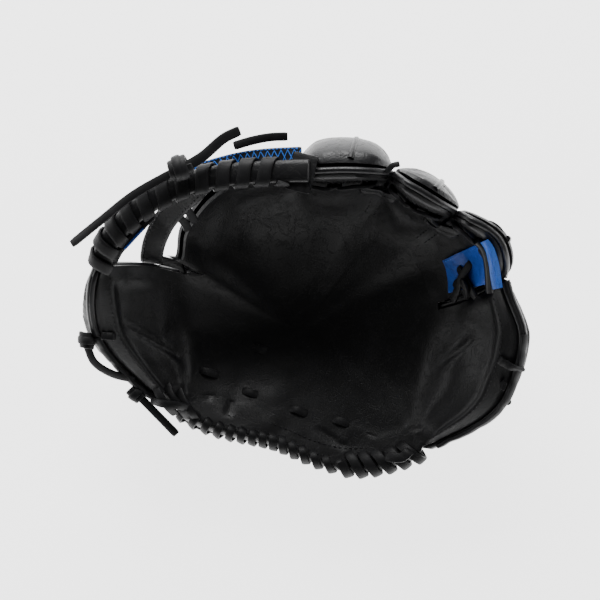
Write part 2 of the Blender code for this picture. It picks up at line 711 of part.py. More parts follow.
def strip(name, route, width, thickness, colour, stations=9, roughness=0.45):
    """A flat strip along a route, its broad faces up and down."""
    points = smooth_route(route, stations)
    turned = frames(points)

    def where(a, b, w):
        side, up = turned[round(a)]
        return points[round(a)] + side * (b * width / 2) + up * ((0.5 - w) * thickness)
    return sheet(name, list(range(stations)), [-1, 0, 1], where, colour, roughness)


def make_web():
    """Top bar with its spiral lace, the post, the stitched strip behind and the lace ends."""
    strip("web_top_bar", BAR_ROUTE, BAR_WIDTH, BAR_THICKNESS, LEATHER_BLACK, 17)
    steps = 8 * WRAP_TURNS
    points = smooth_route(BAR_ROUTE, steps + 9)
    turned = frames(points)
    reach = GAP * 2 * DRAWN_HEIGHT / RIM_HEIGHT + WRAP_LACE / 2
    spiral = []
    for index in range(4, steps + 5):
        turn = (index - 4) * math.pi / 4
        side, up = turned[index]
        corner = 1 + 0.18 * abs(math.sin(2 * turn))
        spiral.append(points[index] + side * (math.cos(turn) * corner * (BAR_WIDTH / 2 + reach))
                      + up * (math.sin(turn) * corner * (BAR_THICKNESS / 2 + reach)))
    cord("web_wrap_lace", spiral, WRAP_LACE)
    strip("web_post", POST_ROUTE, POST_WIDTH, POST_THICKNESS, LEATHER_BLACK, 7)
    strip("web_mesh_strip", MESH_ROUTE, MESH_WIDTH, MESH_THICKNESS, BLUE, 9)
    cord("web_knot", smooth_route(KNOT_ROUTE, 4), KNOT)
    cord("web_lace_end_left", smooth_route(LEFT_TAIL, 10), LACE)
    cord("web_lace_end_right", smooth_route(RIGHT_TAIL, 7), LACE)
    cord("web_lace_end_mesh", smooth_route(MESH_TAIL, 6), LACE)


def make_laces():
    """Ties in the palm, laces between the fingertips and round the thumb and little finger."""
    lift = LACE / 2 + TIE_CLEARANCE
    for number, tie in enumerate(TIES, 1):
        x, y, _ = fitted((*tie, DRAWN_FLOOR))
        ends = spaced(-TIE_LENGTH / 2, TIE_LENGTH / 2, 4)
        cord(f"palm_tie_lace_{number}", [over_palm(x + step, y - step / 3, lift) for step in ends],
             LACE)
    for name, right, left in (("index_middle_lace", "middle", "index"),
                              ("middle_ring_lace", "ring", "middle")):
        low = [STALLS[right].at(u, TIP_LACE_SHARE, 0, base=True) for u in (0.62, 0.72, 0.82)]
        high = [STALLS[left].at(u, TIP_LACE_SHARE, 0, base=True) for u in (-0.82, -0.72, -0.62)]
        middle = Vector((0, CENTRE_Y, RIM_HEIGHT))
        lift_over = FINGER_CROWN + LACE
        route = [point + (middle - point).normalized() * lift_over for point in low + high]
        cord(name, route, LACE)
    out = WELT / 2 + EDGE_CLEARANCE * (RIM_WIDTH / DRAWN_WIDTH) ** 4 + LACE / 2
    for name, reach in (("thumb", THUMB_LACE), ("little", LITTLE_LACE)):
        route = [STALLS[name].at(u, 1, LEATHER + GAP + WELT / 2, out, base=True)
                 for u in spaced(*reach, 12)]
        cord(name + "_edge_lace", route, LACE)
    cord("thumb_lace_end", smooth_route(THUMB_TAIL, 6), LACE)


def over_tab(angle, v, lift):
    """A place above the ring finger's palm side, clear of its bulge."""
    nose = max((v - NOSE) / (1 - NOSE), 0)
    crown = FINGER_CROWN * smooth(0.5, 0.7, v) * math.sqrt(max(1 - nose * nose, 0))
    return place(angle, v, 0, stall_thickness(angle, v), crown + lift)


def make_tab():
    """Blue tab laced over the ring and little fingertips, and its lace."""
    sheet("finger_tab", spaced(*TAB_ANGLES, 7), spaced(*TAB_SHARES, 5),
          lambda a, v, w: over_tab(a, v, GAP + TAB_THICKNESS * (1 - w)), BLUE, 0.4)
    lift = 2 * GAP + TAB_THICKNESS + LACE / 2 * (RIM_WIDTH / DRAWN_WIDTH) ** 3
    cord("tab_lace", [over_tab(a, v, lift) for a, v in TAB_LACE], LACE)


def make_strap():
    """Wrist strap under the arms of the back leather, with its hook and loop patches."""
    free_end = STRAP_HINGE_X - STRAP_REACH

    def flat(name, x_low, x_high, width, z_low, thickness, colour, roughness):
        return sheet(name, spaced(x_low, x_high, 7), [-1, 0, 1],
                     lambda a, b, w: Vector((a, STRAP_Y + b * width / 2,
                                             z_low + thickness * (1 - w))), colour, roughness)

    flat("wrist_strap", free_end, STRAP_HINGE_X, STRAP_WIDTH, STRAP_LIFT, STRAP_THICKNESS,
         BACK_BLACK, 0.45)
    patch_width = STRAP_WIDTH - 4 * PATCH_INSET
    patch_low = STRAP_LIFT + STRAP_THICKNESS + GAP
    patch_start = free_end + PATCH_INSET
    flat("strap_hook_patch", patch_start, patch_start + PATCH_LENGTH, patch_width, patch_low,
         PATCH, LACE_BLACK, 0.9)
    flat("strap_loop_patch", patch_start, patch_start + PATCH_LENGTH, patch_width,
         patch_low + PATCH + GAP, PATCH, LACE_BLACK, 0.9)


def hang_on(name, point, pieces):
    """An empty on a joint's axis carries the pieces that turn about it."""
    pivot = bpy.data.objects.new(name, None)
    pivot.location = point
    bpy.data.collections["catch_glove"].objects.link(pivot)
    bpy.context.view_layer.update()
    for piece in pieces:
        piece.parent = pivot
        piece.matrix_parent_inverse = pivot.matrix_world.inverted()


def fold_point(line, lift):
    """The middle of a fold line, above the palm surface."""
    middle = (Vector(line[0]) + Vector(line[1])) / 2
    x, y, _ = fitted((*middle, DRAWN_FLOOR))
    return over_palm(x, y, lift)


def make_joints():
    """Fold lines of the thumb and little finger sides, and the root of the wrist strap."""
    parts = bpy.data.collections["catch_glove"].objects
    for side, line in (("thumb", THUMB_FOLD), ("little", LITTLE_FOLD)):
        moving = [piece for piece in parts if piece.name.startswith(side + "_")]
        hang_on(side + "_fold_pivot", fold_point(line, LACE), moving)
    strap = [parts["wrist_strap"], parts["strap_hook_patch"]]
    hang_on("strap_pivot", (STRAP_HINGE_X, STRAP_Y, STRAP_LIFT + STRAP_THICKNESS), strap)


def clear_scene():
    for item in list(bpy.data.objects):
        bpy.data.objects.remove(item, do_unlink=True)
    glove = bpy.data.collections.new("catch_glove")
    bpy.context.scene.collection.children.link(glove)


def main():
    clear_scene()
    make_palm()
    make_heel_lace()
    make_back()
    make_fingers()
    make_lobe("thumb")
    make_lobe("little")
    make_web()
    make_laces()
    make_tab()
    make_strap()
    make_joints()


main()
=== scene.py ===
"""Finish of a leather catch glove for the left hand, built over its fixed frame.

The pocket is a bowl whose sections fan out from one centre. A place in the glove is given by
the angle round the centre, a share v from the centre (0) over the finger bases and fold lines
(0.5) to the rim (1), and a height over the palm leather. A stall is the sleeve of one finger,
and u runs across it from -1 to 1. All lengths are in metres and all angles in degrees. +Y
points along the fingers and the thumb lies towards -X.
"""
import json
import math

import bmesh
import bpy
from bpy.props import FloatProperty, FloatVectorProperty, IntProperty, PointerProperty
from mathutils import Matrix, Vector, noise
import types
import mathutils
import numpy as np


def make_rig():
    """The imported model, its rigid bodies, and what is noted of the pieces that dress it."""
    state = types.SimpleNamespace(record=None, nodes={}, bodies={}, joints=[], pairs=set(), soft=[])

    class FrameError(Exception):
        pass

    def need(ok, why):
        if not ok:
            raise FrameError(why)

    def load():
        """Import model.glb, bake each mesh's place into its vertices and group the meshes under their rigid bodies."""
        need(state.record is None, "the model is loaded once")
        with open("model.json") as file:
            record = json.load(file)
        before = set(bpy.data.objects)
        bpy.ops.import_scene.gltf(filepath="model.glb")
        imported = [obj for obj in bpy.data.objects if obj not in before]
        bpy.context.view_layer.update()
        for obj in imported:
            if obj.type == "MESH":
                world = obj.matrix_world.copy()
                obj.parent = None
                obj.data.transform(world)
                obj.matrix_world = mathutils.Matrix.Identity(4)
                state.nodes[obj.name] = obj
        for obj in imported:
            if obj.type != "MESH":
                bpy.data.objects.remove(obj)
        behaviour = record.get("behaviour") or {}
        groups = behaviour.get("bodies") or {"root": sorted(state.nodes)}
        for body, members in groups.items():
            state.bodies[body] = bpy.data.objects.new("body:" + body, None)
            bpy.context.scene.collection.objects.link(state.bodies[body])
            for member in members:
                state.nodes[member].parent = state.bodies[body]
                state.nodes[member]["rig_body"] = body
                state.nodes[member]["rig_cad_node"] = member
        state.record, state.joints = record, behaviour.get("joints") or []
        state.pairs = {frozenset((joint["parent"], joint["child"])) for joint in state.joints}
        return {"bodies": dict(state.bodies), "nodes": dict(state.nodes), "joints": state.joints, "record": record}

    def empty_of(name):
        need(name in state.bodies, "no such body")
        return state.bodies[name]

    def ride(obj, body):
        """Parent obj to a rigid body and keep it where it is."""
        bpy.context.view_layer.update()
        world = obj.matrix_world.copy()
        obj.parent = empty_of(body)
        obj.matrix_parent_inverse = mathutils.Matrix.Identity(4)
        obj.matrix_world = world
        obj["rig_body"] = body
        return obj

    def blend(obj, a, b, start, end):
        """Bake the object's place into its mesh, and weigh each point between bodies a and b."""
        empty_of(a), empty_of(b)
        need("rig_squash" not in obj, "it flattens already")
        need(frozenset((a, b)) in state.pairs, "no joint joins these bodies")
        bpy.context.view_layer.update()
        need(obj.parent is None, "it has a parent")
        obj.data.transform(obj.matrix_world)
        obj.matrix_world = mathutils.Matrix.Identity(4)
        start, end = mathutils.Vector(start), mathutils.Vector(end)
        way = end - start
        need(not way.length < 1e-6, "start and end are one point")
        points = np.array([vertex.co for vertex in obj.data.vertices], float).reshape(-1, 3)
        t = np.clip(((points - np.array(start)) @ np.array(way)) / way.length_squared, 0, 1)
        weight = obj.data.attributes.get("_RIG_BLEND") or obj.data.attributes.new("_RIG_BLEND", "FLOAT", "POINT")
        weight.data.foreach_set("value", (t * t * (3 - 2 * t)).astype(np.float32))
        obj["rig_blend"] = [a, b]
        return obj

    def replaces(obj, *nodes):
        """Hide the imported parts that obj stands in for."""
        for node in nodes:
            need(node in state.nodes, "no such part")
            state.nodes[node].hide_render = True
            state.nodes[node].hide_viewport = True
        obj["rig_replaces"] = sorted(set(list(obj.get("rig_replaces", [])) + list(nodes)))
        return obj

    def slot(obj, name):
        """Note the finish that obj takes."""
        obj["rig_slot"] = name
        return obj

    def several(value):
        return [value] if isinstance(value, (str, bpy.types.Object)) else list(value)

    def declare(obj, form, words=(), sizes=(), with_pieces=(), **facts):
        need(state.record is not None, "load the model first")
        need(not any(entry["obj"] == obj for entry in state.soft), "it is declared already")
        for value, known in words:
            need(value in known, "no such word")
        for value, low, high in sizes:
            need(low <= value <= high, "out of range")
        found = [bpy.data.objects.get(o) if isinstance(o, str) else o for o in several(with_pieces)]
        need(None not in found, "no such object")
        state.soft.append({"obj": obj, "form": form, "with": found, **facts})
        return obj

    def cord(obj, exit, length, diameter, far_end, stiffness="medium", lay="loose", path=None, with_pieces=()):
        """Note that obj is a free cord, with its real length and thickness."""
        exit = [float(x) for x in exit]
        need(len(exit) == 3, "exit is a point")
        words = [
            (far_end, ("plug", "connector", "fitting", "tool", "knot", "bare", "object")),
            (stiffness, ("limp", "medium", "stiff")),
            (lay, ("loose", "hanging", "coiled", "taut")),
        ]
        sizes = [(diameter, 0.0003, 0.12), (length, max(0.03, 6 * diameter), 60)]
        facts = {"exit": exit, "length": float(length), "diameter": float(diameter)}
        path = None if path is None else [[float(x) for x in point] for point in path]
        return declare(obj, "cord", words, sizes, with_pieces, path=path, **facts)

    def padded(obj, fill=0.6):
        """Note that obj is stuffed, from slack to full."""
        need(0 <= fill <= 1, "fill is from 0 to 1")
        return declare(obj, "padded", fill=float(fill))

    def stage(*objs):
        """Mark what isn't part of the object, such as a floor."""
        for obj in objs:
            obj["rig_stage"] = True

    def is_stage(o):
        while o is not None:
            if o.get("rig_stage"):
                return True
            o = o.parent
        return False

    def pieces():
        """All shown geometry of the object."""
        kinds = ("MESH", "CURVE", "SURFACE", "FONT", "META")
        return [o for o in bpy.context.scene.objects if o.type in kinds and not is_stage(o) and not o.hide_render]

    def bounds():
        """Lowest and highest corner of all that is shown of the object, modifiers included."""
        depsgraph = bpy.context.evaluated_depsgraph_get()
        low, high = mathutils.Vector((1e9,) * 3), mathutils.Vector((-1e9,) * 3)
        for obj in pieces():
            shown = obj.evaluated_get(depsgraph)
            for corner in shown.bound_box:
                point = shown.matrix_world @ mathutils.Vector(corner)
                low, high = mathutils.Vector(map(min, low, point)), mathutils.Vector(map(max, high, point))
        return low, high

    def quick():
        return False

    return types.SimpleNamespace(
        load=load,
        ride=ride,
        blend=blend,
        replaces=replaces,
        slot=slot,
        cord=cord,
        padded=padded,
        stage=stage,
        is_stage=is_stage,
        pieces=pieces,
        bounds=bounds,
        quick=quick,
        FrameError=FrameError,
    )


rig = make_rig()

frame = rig.load()
CAD_BOX = [list(corner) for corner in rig.bounds()]

bl_info = {
    "name": "Catch glove",
    "version": (1, 0, 0),
    "blender": (4, 5, 0),
    "location": "3D View > Sidebar > Glove",
    "description": "Leather, lacing and stitching of a catch glove",
    "category": "Object",
}

# Rim: x, y, z, lean of the wall, and the two handles that shape the section
RIM = (
    (-0.019, -0.090, 0.052, 10, 0.030, 0.020),
    (-0.071, -0.074, 0.053, 18, 0.035, 0.025),
    (-0.104, -0.050, 0.063, 32, 0.045, 0.030),
    (-0.125, -0.019, 0.085, 55, 0.055, 0.040),
    (-0.125, 0.020, 0.112, 62, 0.052, 0.050),
    (-0.122, 0.037, 0.120, 62, 0.045, 0.055),
    (-0.074, 0.024, 0.082, 52, 0.036, 0.032),
    (-0.070, 0.042, 0.089, 60, 0.042, 0.038),
    (-0.046, 0.067, 0.112, 80, 0.050, 0.050),
    (-0.015, 0.073, 0.125, 95, 0.055, 0.052),
    (-0.002, 0.074, 0.138, 105, 0.060, 0.055),
    (0.051, 0.072, 0.143, 105, 0.062, 0.055),
    (0.088, 0.052, 0.139, 101, 0.065, 0.055),
    (0.120, 0.032, 0.126, 95, 0.073, 0.052),
    (0.126, 0.005, 0.108, 76, 0.070, 0.045),
    (0.135, -0.025, 0.095, 60, 0.068, 0.040),
    (0.127, -0.060, 0.078, 48, 0.060, 0.035),
    (0.090, -0.090, 0.059, 20, 0.050, 0.030),
    (0.045, -0.108, 0.050, 6, 0.040, 0.028),
)
CENTRE_Y = -0.020
POCKET_FLOOR = 0.038
THUMB_FOLD = ((-0.072, 0.024), (-0.066, -0.072))
LITTLE_FOLD = ((0.086, 0.003), (0.066, -0.093))
BASE_LINE = ((25, 0.086), (48, 0.076), (76, 0.066), (100, 0.063), (128, 0.067), (148, 0.079),
             (217, 0.062), (255, 0.046), (297, 0.062))

# Borders between the stalls: angle at v = 0.5 and angle at the rim
HEEL_LITTLE = (-43.0, -43.0)
LITTLE_RING = (10.0, 15.0)
RING_MIDDLE = (37.0, 37.5)
MIDDLE_INDEX = (59.0, 60.0)
INDEX_WEB = (93.0, 93.0)
WEB_THUMB = 150.0
THUMB_TOP = (153.5, 161.5)
THUMB_HEEL = (210.0, 210.0)
HEEL_START = 213.0
HEEL_END = 315.0
PALM_SPLIT = 264.0         # the palm leather is joined here and between middle and index

LEATHER = 0.0022
LINING = 0.0011
HEEL_FELT = 0.0075
WELT = 0.0032
GAP = 0.0004
FINGER_FELT = 0.0030
LOBE_FELT = 0.0045
PLATE = 0.0020             # stiffener of the thumb and little finger
SLEEVE_SIDE = 0.56         # half width of a sleeve, as a share of its stall
UNDER_PALM = LEATHER + GAP
HEEL_THICKNESS = UNDER_PALM + HEEL_FELT + GAP + LINING
CENTRE_THICKNESS = 0.042
HAND_THICKNESS = 0.046
BASE_THICKNESS = 0.034
FINGER_THICKNESS = 0.025
EDGE_THICKNESS = 0.0078
FINGER_CROWN = 0.006
LOBE_CROWN = 0.009
SLIT = 0.55                # half the angle of the slit between two fingers
LITTLE_SLIT = 1.5          # and of the open one beside the little finger

# Wrist strap
STRAP_WIDTH = 0.030
STRAP_THICKNESS = 0.0026
STRAP_REACH = 0.114
STRAP_HINGE_X = 0.050
STRAP_Y = -0.074
STRAP_LIFT = 0.0006
STRAP_NOSE = 0.010         # length of the rounded free end
PATCH = 0.0013
PATCH_LENGTH = 0.022
ARM_FLOOR = STRAP_LIFT + STRAP_THICKNESS + 2 * PATCH + 4 * GAP

# Joint ends: a point follows the moving part up to the first place and the hand after the other
THUMB_BEND = ((-0.084, -0.025, 0.069), (-0.054, -0.023, 0.069))
LITTLE_BEND = ((0.0907, -0.048, 0.060), (0.0613, -0.042, 0.060))


class Sizes(bpy.types.PropertyGroup):
    """Sizes a maker would change"""
    lace_width: FloatProperty(name="Lace width", default=0.0052, unit="LENGTH",
                              description="Width of the flat rawhide lace")
    lace_thickness: FloatProperty(name="Lace thickness", default=0.0026, unit="LENGTH",
                                  description="Thickness of the flat rawhide lace")
    wrap_turns: IntProperty(name="Web turns", default=11,
                            description="Turns of the lace round the top bar of the web")
    heel_turns: IntProperty(name="Heel turns", default=19,
                            description="Turns of the lace that whips over the heel edge")
    stitch_pitch: FloatProperty(name="Stitch pitch", default=0.0034, unit="LENGTH",
                                description="Distance from one stitch to the next")


def colour_choice(name, text, red, green, blue):
    return FloatVectorProperty(name=name, description=text, default=(red, green, blue),
                               subtype="COLOR", size=3, min=0.0, max=1.0)


class Colours(bpy.types.PropertyGroup):
    """Colours a maker would change"""
    palm: colour_choice("Palm leather", "Oiled leather of the pocket", 0.0055, 0.0055, 0.0065)
    back: colour_choice("Back leather", "Grained leather of the back", 0.012, 0.012, 0.0135)
    lace: colour_choice("Lace", "Rawhide lace", 0.0075, 0.0075, 0.0085)
    blue: colour_choice("Blue leather", "Tab and trim", 0.018, 0.105, 0.58)
    bright: colour_choice("Bright blue", "Outer strip of the tab", 0.035, 0.20, 0.88)
    thread: colour_choice("Thread", "Seams of the black leathers", 0.010, 0.010, 0.012)
    lining: colour_choice("Lining", "Inside of the hand", 0.035, 0.035, 0.04)
    felt: colour_choice("Felt", "Padding in the stalls", 0.30, 0.30, 0.29)


# ---------------------------------------------------------------- shape of the glove

def blend(low, high, share):
    return low + (high - low) * share


def smooth(low, high, value):
    """Ease from 0 at low to 1 at high."""
    share = min(max((value - low) / (high - low), 0.0), 1.0)
    return share * share * (3 - 2 * share)


def bump(value, at, width):
    """1 at a place, fading to 0 on both sides of it."""
    return math.exp(-((value - at) / width) ** 2)


def spaced(low, high, count):
    return [blend(low, high, index / (count - 1)) for index in range(count)]


def last_below(high, halvings, below):
    """The largest share up to high for which below(share) still holds."""
    low = 0.0
    for _ in range(halvings):
        middle = (low + high) / 2
        if below(middle):
            low = middle
        else:
            high = middle
    return low


def curve_through(stops, value, period=None):
    """Read a smooth curve through (place, amount) stops that never overshoots."""
    if period:
        value = (value - stops[0][0]) % period + stops[0][0]
        wrapped_end = [(stops[0][0] + period, stops[0][1]), (stops[1][0] + period, stops[1][1])]
        stops = [(stops[-1][0] - period, stops[-1][1])] + list(stops) + wrapped_end
    for index in range(len(stops) - 1):
        if value <= stops[index + 1][0]:
            break

    def grade(left):
        (x0, y0), (x1, y1) = stops[left], stops[left + 1]
        return (y1 - y0) / (x1 - x0)

    def slope(at):
        if at == 0 or at == len(stops) - 1:
            return 0.0
        before, after = grade(at - 1), grade(at)
        return 0.0 if before * after <= 0 else 2 * before * after / (before + after)

    (x0, y0), (x1, y1) = stops[index], stops[index + 1]
    span = x1 - x0
    s = min(max((value - x0) / span, 0.0), 1.0)
    return (y0 * (1 + 2 * s) * (1 - s) ** 2 + y1 * s * s * (3 - 2 * s)
            + span * s * (1 - s) * (slope(index) * (1 - s) - slope(index + 1) * s))


def rim_columns():
    rows = []
    for x, y, z, lean, start, end in RIM:
        angle = math.degrees(math.atan2(y - CENTRE_Y, x)) % 360
        rows.append((angle, math.hypot(x, y - CENTRE_Y), z, lean, start, end))
    rows.sort()
    return [[(row[0], row[column]) for row in rows] for column in range(1, 6)]


def fold_radius(line, angle):
    """Distance from the centre to a fold line, seen in plan."""
    (x0, y0), (x1, y1) = line
    dx, dy = x1 - x0, y1 - y0
    c, s = math.cos(math.radians(angle)), math.sin(math.radians(angle))
    return (x0 * dy - (y0 - CENTRE_Y) * dx) / (c * dy - s * dx)


def base_stops():
    """The line v = 0.5 all the way round: fold lines at the sides, finger bases between."""
    stops = list(BASE_LINE)
    stops += [(angle, fold_radius(THUMB_FOLD, angle)) for angle in (153, 165, 180, 195, 209)]
    stops += [(angle % 360, fold_radius(LITTLE_FOLD, angle)) for angle in (-43, -30, -15, 0, 10)]
    return sorted(stops)


TURNS = 480                # sections kept in the table
INNER_STEPS = 20           # steps from the centre to v = 0.5 in each of them


def bezier(handle, r2, z2, r3, z3, t):
    """Radius and height of a section at t, and its direction."""
    s = 1 - t
    radius = 3 * s * s * t * handle + 3 * s * t * t * r2 + t ** 3 * r3
    height = POCKET_FLOOR * (s ** 3 + 3 * s * s * t) + 3 * s * t * t * z2 + t ** 3 * z3
    way_r = handle * s * s + (r2 - handle) * 2 * t * s + (r3 - r2) * t * t
    way_z = (z2 - POCKET_FLOOR) * 2 * t * s + (z3 - z2) * t * t
    length = math.hypot(way_r, way_z)
    return radius, height, way_r / length, way_z / length


def section_table():
    curves, base_line = rim_columns(), base_stops()
    rows = []
    for turn in range(TURNS):
        angle = turn * 360 / TURNS
        radius, height, lean, start, end = (curve_through(c, angle, 360) for c in curves)
        lean = math.radians(lean)
        shape = (start, radius - end * math.cos(lean), height - end * math.sin(lean),
                 radius, height)
        base = curve_through(base_line, angle, 360)
        shares = []
        for step in range(INNER_STEPS + 1):
            reach = base * step / INNER_STEPS
            shares.append(last_below(0.75, 22, lambda t: bezier(*shape, t)[0] < reach))
        rows.append((shape, base, shares))
    return rows


SECTIONS = section_table()


def place(angle, v, lift, out=0.0):
    """A place lift over the palm leather, moved out along the section."""
    turn = (angle % 360) * TURNS / 360
    low = int(turn)
    share = turn - low
    shape_a, _, shares_a = SECTIONS[low % TURNS]
    shape_b, _, shares_b = SECTIONS[(low + 1) % TURNS]
    shape = [a + (b - a) * share for a, b in zip(shape_a, shape_b)]
    if v <= 0.5:
        step = max(v, 0.0) * 2 * INNER_STEPS
        index = min(int(step), INNER_STEPS - 1)
        first = blend(shares_a[index], shares_b[index], share)
        second = blend(shares_a[index + 1], shares_b[index + 1], share)
        t = blend(first, second, step - index)
    else:
        t = blend(blend(shares_a[-1], shares_b[-1], share), 1.0, 2 * v - 1)
    radius, height, way_r, way_z = bezier(*shape, t)
    radius += -way_z * lift + way_r * out
    height += way_r * lift + way_z * out
    c, s = math.cos(math.radians(angle)), math.sin(math.radians(angle))
    return Vector((radius * c, CENTRE_Y + radius * s, height))


def heel_share(angle):
    """1 over the wrist opening, 0 over the fingers."""
    angle = angle % 360
    return smooth(190, 212, angle) * (1 - smooth(314, 336, angle))


def web_share(angle):
    """1 over the leather between index finger and thumb."""
    angle = angle % 360
    return smooth(85, 94, angle) * (1 - smooth(149.5, 152.5, angle))


def stall_thickness(angle, v):
    finger = curve_through(((0, CENTRE_THICKNESS), (0.25, HAND_THICKNESS), (0.5, BASE_THICKNESS),
                            (0.7, FINGER_THICKNESS + 0.002), (1, FINGER_THICKNESS)), v)
    heel = curve_through(((0, CENTRE_THICKNESS), (0.25, HAND_THICKNESS), (1, HAND_THICKNESS)), v)
    web = curve_through(((0, CENTRE_THICKNESS), (0.25, HAND_THICKNESS), (0.5, BASE_THICKNESS),
                         (0.68, EDGE_THICKNESS + 0.004), (0.85, EDGE_THICKNESS)), v)
    return blend(blend(finger, heel, heel_share(angle)), web, web_share(angle))


def over_ground(point, inside):
    """Keep a place of the back leather on the ground, or clear of the wrist strap."""
    strap_edge = STRAP_Y + STRAP_WIDTH / 2
    floor = ARM_FLOOR * (1 - smooth(strap_edge + 0.003, strap_edge + 0.016, point.y))
    point.z = max(point.z, floor + inside)
    return point


NOSE_START = 0.78          # a fingertip rounds off from here
NOSE_LENGTH = 0.22
LIP = (0.90, 0.10)         # middle and width of the ridge across a fingertip
ROLL = 0.0026              # height of the rolled edge of the thumb and little finger
ROLL_PLACE = (0.15, 0.09)  # and its middle and width, inwards from the edge


def nose_share(v):
    """1 down the stall, falling to 0 at the rim like a quarter of a circle."""
    nose = min(max((v - NOSE_START) / NOSE_LENGTH, 0), 1)
    return math.sqrt(1 - nose * nose)


class Stall:
    """The sleeve of one finger, between two borders.

    crown arches its palm side, notch rounds off its tip, slim is the share of its depth that
    is left near the tip, and lip is the height of a ridge across the tip.
    """

    def __init__(self, low, high, crown, notch, slim=1.0, lip=0.0):
        self.low, self.high, self.crown, self.notch = low, high, crown, notch
        self.slim, self.lip = slim, lip

    def angle(self, u, v):
        t = max(2 * v - 1, 0)
        low, high = blend(*self.low, t), blend(*self.high, t)
        return blend(low, high, (u + 1) / 2)

    def swell(self, u, v):
        """1 in the middle of the stall, falling to 0 at its stitched edges."""
        return (1 - smooth(0.5, 0.6, v) * abs(u) ** 3) * nose_share(v)

    def tip(self, u, v):
        return v - self.notch * abs(u) ** 4 * smooth(0.6, 1, v)

    def palm(self, u, v, lift=0.0, out=0.0):
        crown = self.crown * smooth(0.5, 0.7, v) * self.swell(u, v) * (1 - u * u)
        crown += self.lip * bump(v, *LIP) * (1 - u ** 4)
        if self.crown == LOBE_CROWN:
            from_edge = min((1 - v) * 2.4, 1 - abs(u))
            crown += ROLL * bump(from_edge, *ROLL_PLACE) * smooth(0.6, 0.75, v)
        return place(self.angle(u, v), self.tip(u, v), lift + crown, out)

    def back(self, u, v, inside=0.0, out=0.0):
        angle, tip = self.angle(u, v), self.tip(u, v)
        slim = blend(1, self.slim, smooth(0.6, 0.95, v))
        padding = (stall_thickness(angle, tip) - EDGE_THICKNESS) * self.swell(u, v) * slim
        return over_ground(place(angle, tip, inside - (EDGE_THICKNESS + padding), out), inside)


STALLS = {
    "index": Stall(MIDDLE_INDEX, INDEX_WEB, FINGER_CROWN, 0.07, 0.9, 0.0030),
    "middle": Stall(RING_MIDDLE, MIDDLE_INDEX, FINGER_CROWN, 0.10, 0.42, 0.0026),
    "ring": Stall(LITTLE_RING, RING_MIDDLE, FINGER_CROWN, 0.10, 0.12, 0.0020),
    "thumb": Stall(THUMB_TOP, THUMB_HEEL, LOBE_CROWN, 0.05, 0.85),
    "little": Stall(HEEL_LITTLE, LITTLE_RING, LOBE_CROWN, 0.06, 0.55),
}


def palm_place(angle, v, lift=0.0, out=0.0):
    """A place on the palm leather; the angle is read at v = 0.5 and turns with its stall."""
    flat = (angle + 60) % 360 - 60
    for stall in STALLS.values():
        if stall.low[0] <= flat <= stall.high[0]:
            u = 2 * (flat - stall.low[0]) / (stall.high[0] - stall.low[0]) - 1
            return stall.palm(u, v, lift, out)
    return place(angle, v, lift, out)


def back_place(angle, v, inside=0.0, out=0.0):
    return over_ground(place(angle, v, inside - stall_thickness(angle, v), out), inside)


ARM = (HEEL_END - HEEL_START) / 4   # width of an arm of the back leather
ARM_END = 0.93
ARM_ROUND = 0.56           # an arm is rounded off from here
OPENING = 0.29             # the edge of the wrist opening between the arms


def arm_reach(angle, v):
    """Rounds off the ends of the two arms beside the wrist opening."""
    flat = angle % 360
    for start in (HEEL_START, HEEL_END - ARM):
        if start <= flat <= start + ARM:
            across = abs(2 * (flat - start) / ARM - 1)
            return v - 0.34 * max(v - ARM_ROUND, 0) * across ** 3
    return v


def over_palm(x, y, lift):
    """A place over the palm leather, found from its plan position."""
    radius = math.hypot(x, y - CENTRE_Y)
    angle = math.degrees(math.atan2(y - CENTRE_Y, x))

    def within(v):
        point = place(angle, v, 0)
        return math.hypot(point.x, point.y - CENTRE_Y) < radius

    return palm_place(angle, last_below(1.0, 24, within), lift)


def smooth_route(stops, count):
    """A smooth open curve through stops, as evenly spaced points."""
    stops = [Vector(stop) for stop in stops]
    reach = [0.0]
    for before, after in zip(stops, stops[1:]):
        reach.append(reach[-1] + max((after - before).length, 1e-6))

    def read(value):
        for index in range(len(stops) - 1):
            if value <= reach[index + 1]:
                break
        before, after = max(index - 1, 0), min(index + 2, len(stops) - 1)
        start = (stops[index + 1] - stops[before]) / (reach[index + 1] - reach[before])
        end = (stops[after] - stops[index]) / (reach[after] - reach[index])
        span = reach[index + 1] - reach[index]
        s = min(max((value - reach[index]) / span, 0.0), 1.0)
        return (stops[index] * (1 + 2 * s) * (1 - s) ** 2
                + stops[index + 1] * s * s * (3 - 2 * s)
                + (start * (1 - s) - end * s) * span * s * (1 - s))

    return [read(value) for value in spaced(0, reach[-1], count)]


def frames(points, ups=None):
    """A side and an up direction at every point of a route."""
    result = []
    for index in range(len(points)):
        ahead = points[min(index + 1, len(points) - 1)] - points[max(index - 1, 0)]
        wish = Vector((0, 0, 1)) if ups is None else Vector(ups[index])
        side = ahead.cross(wish).normalized()
        result.append((side, side.cross(ahead).normalized()))
    return result


# ---------------------------------------------------------------- meshes

def finished(name, bm, finish, slot, keep_direction=False):
    """Turn a bmesh into a piece with its finish and slot."""
    if not keep_direction:
        bmesh.ops.recalc_face_normals(bm, faces=bm.faces[:])
    mesh = bpy.data.meshes.new(name)
    bm.to_mesh(mesh)
    bm.free()
    mesh.materials.append(finish)
    mesh.shade_smooth()
    mesh.set_sharp_from_angle(angle=math.radians(48))
    piece = bpy.data.objects.new(name, mesh)
    bpy.context.scene.collection.objects.link(piece)
    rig.slot(piece, slot)
    return piece


EASE_MARGIN = 7            # degrees at each end of a sheet that are not evened out


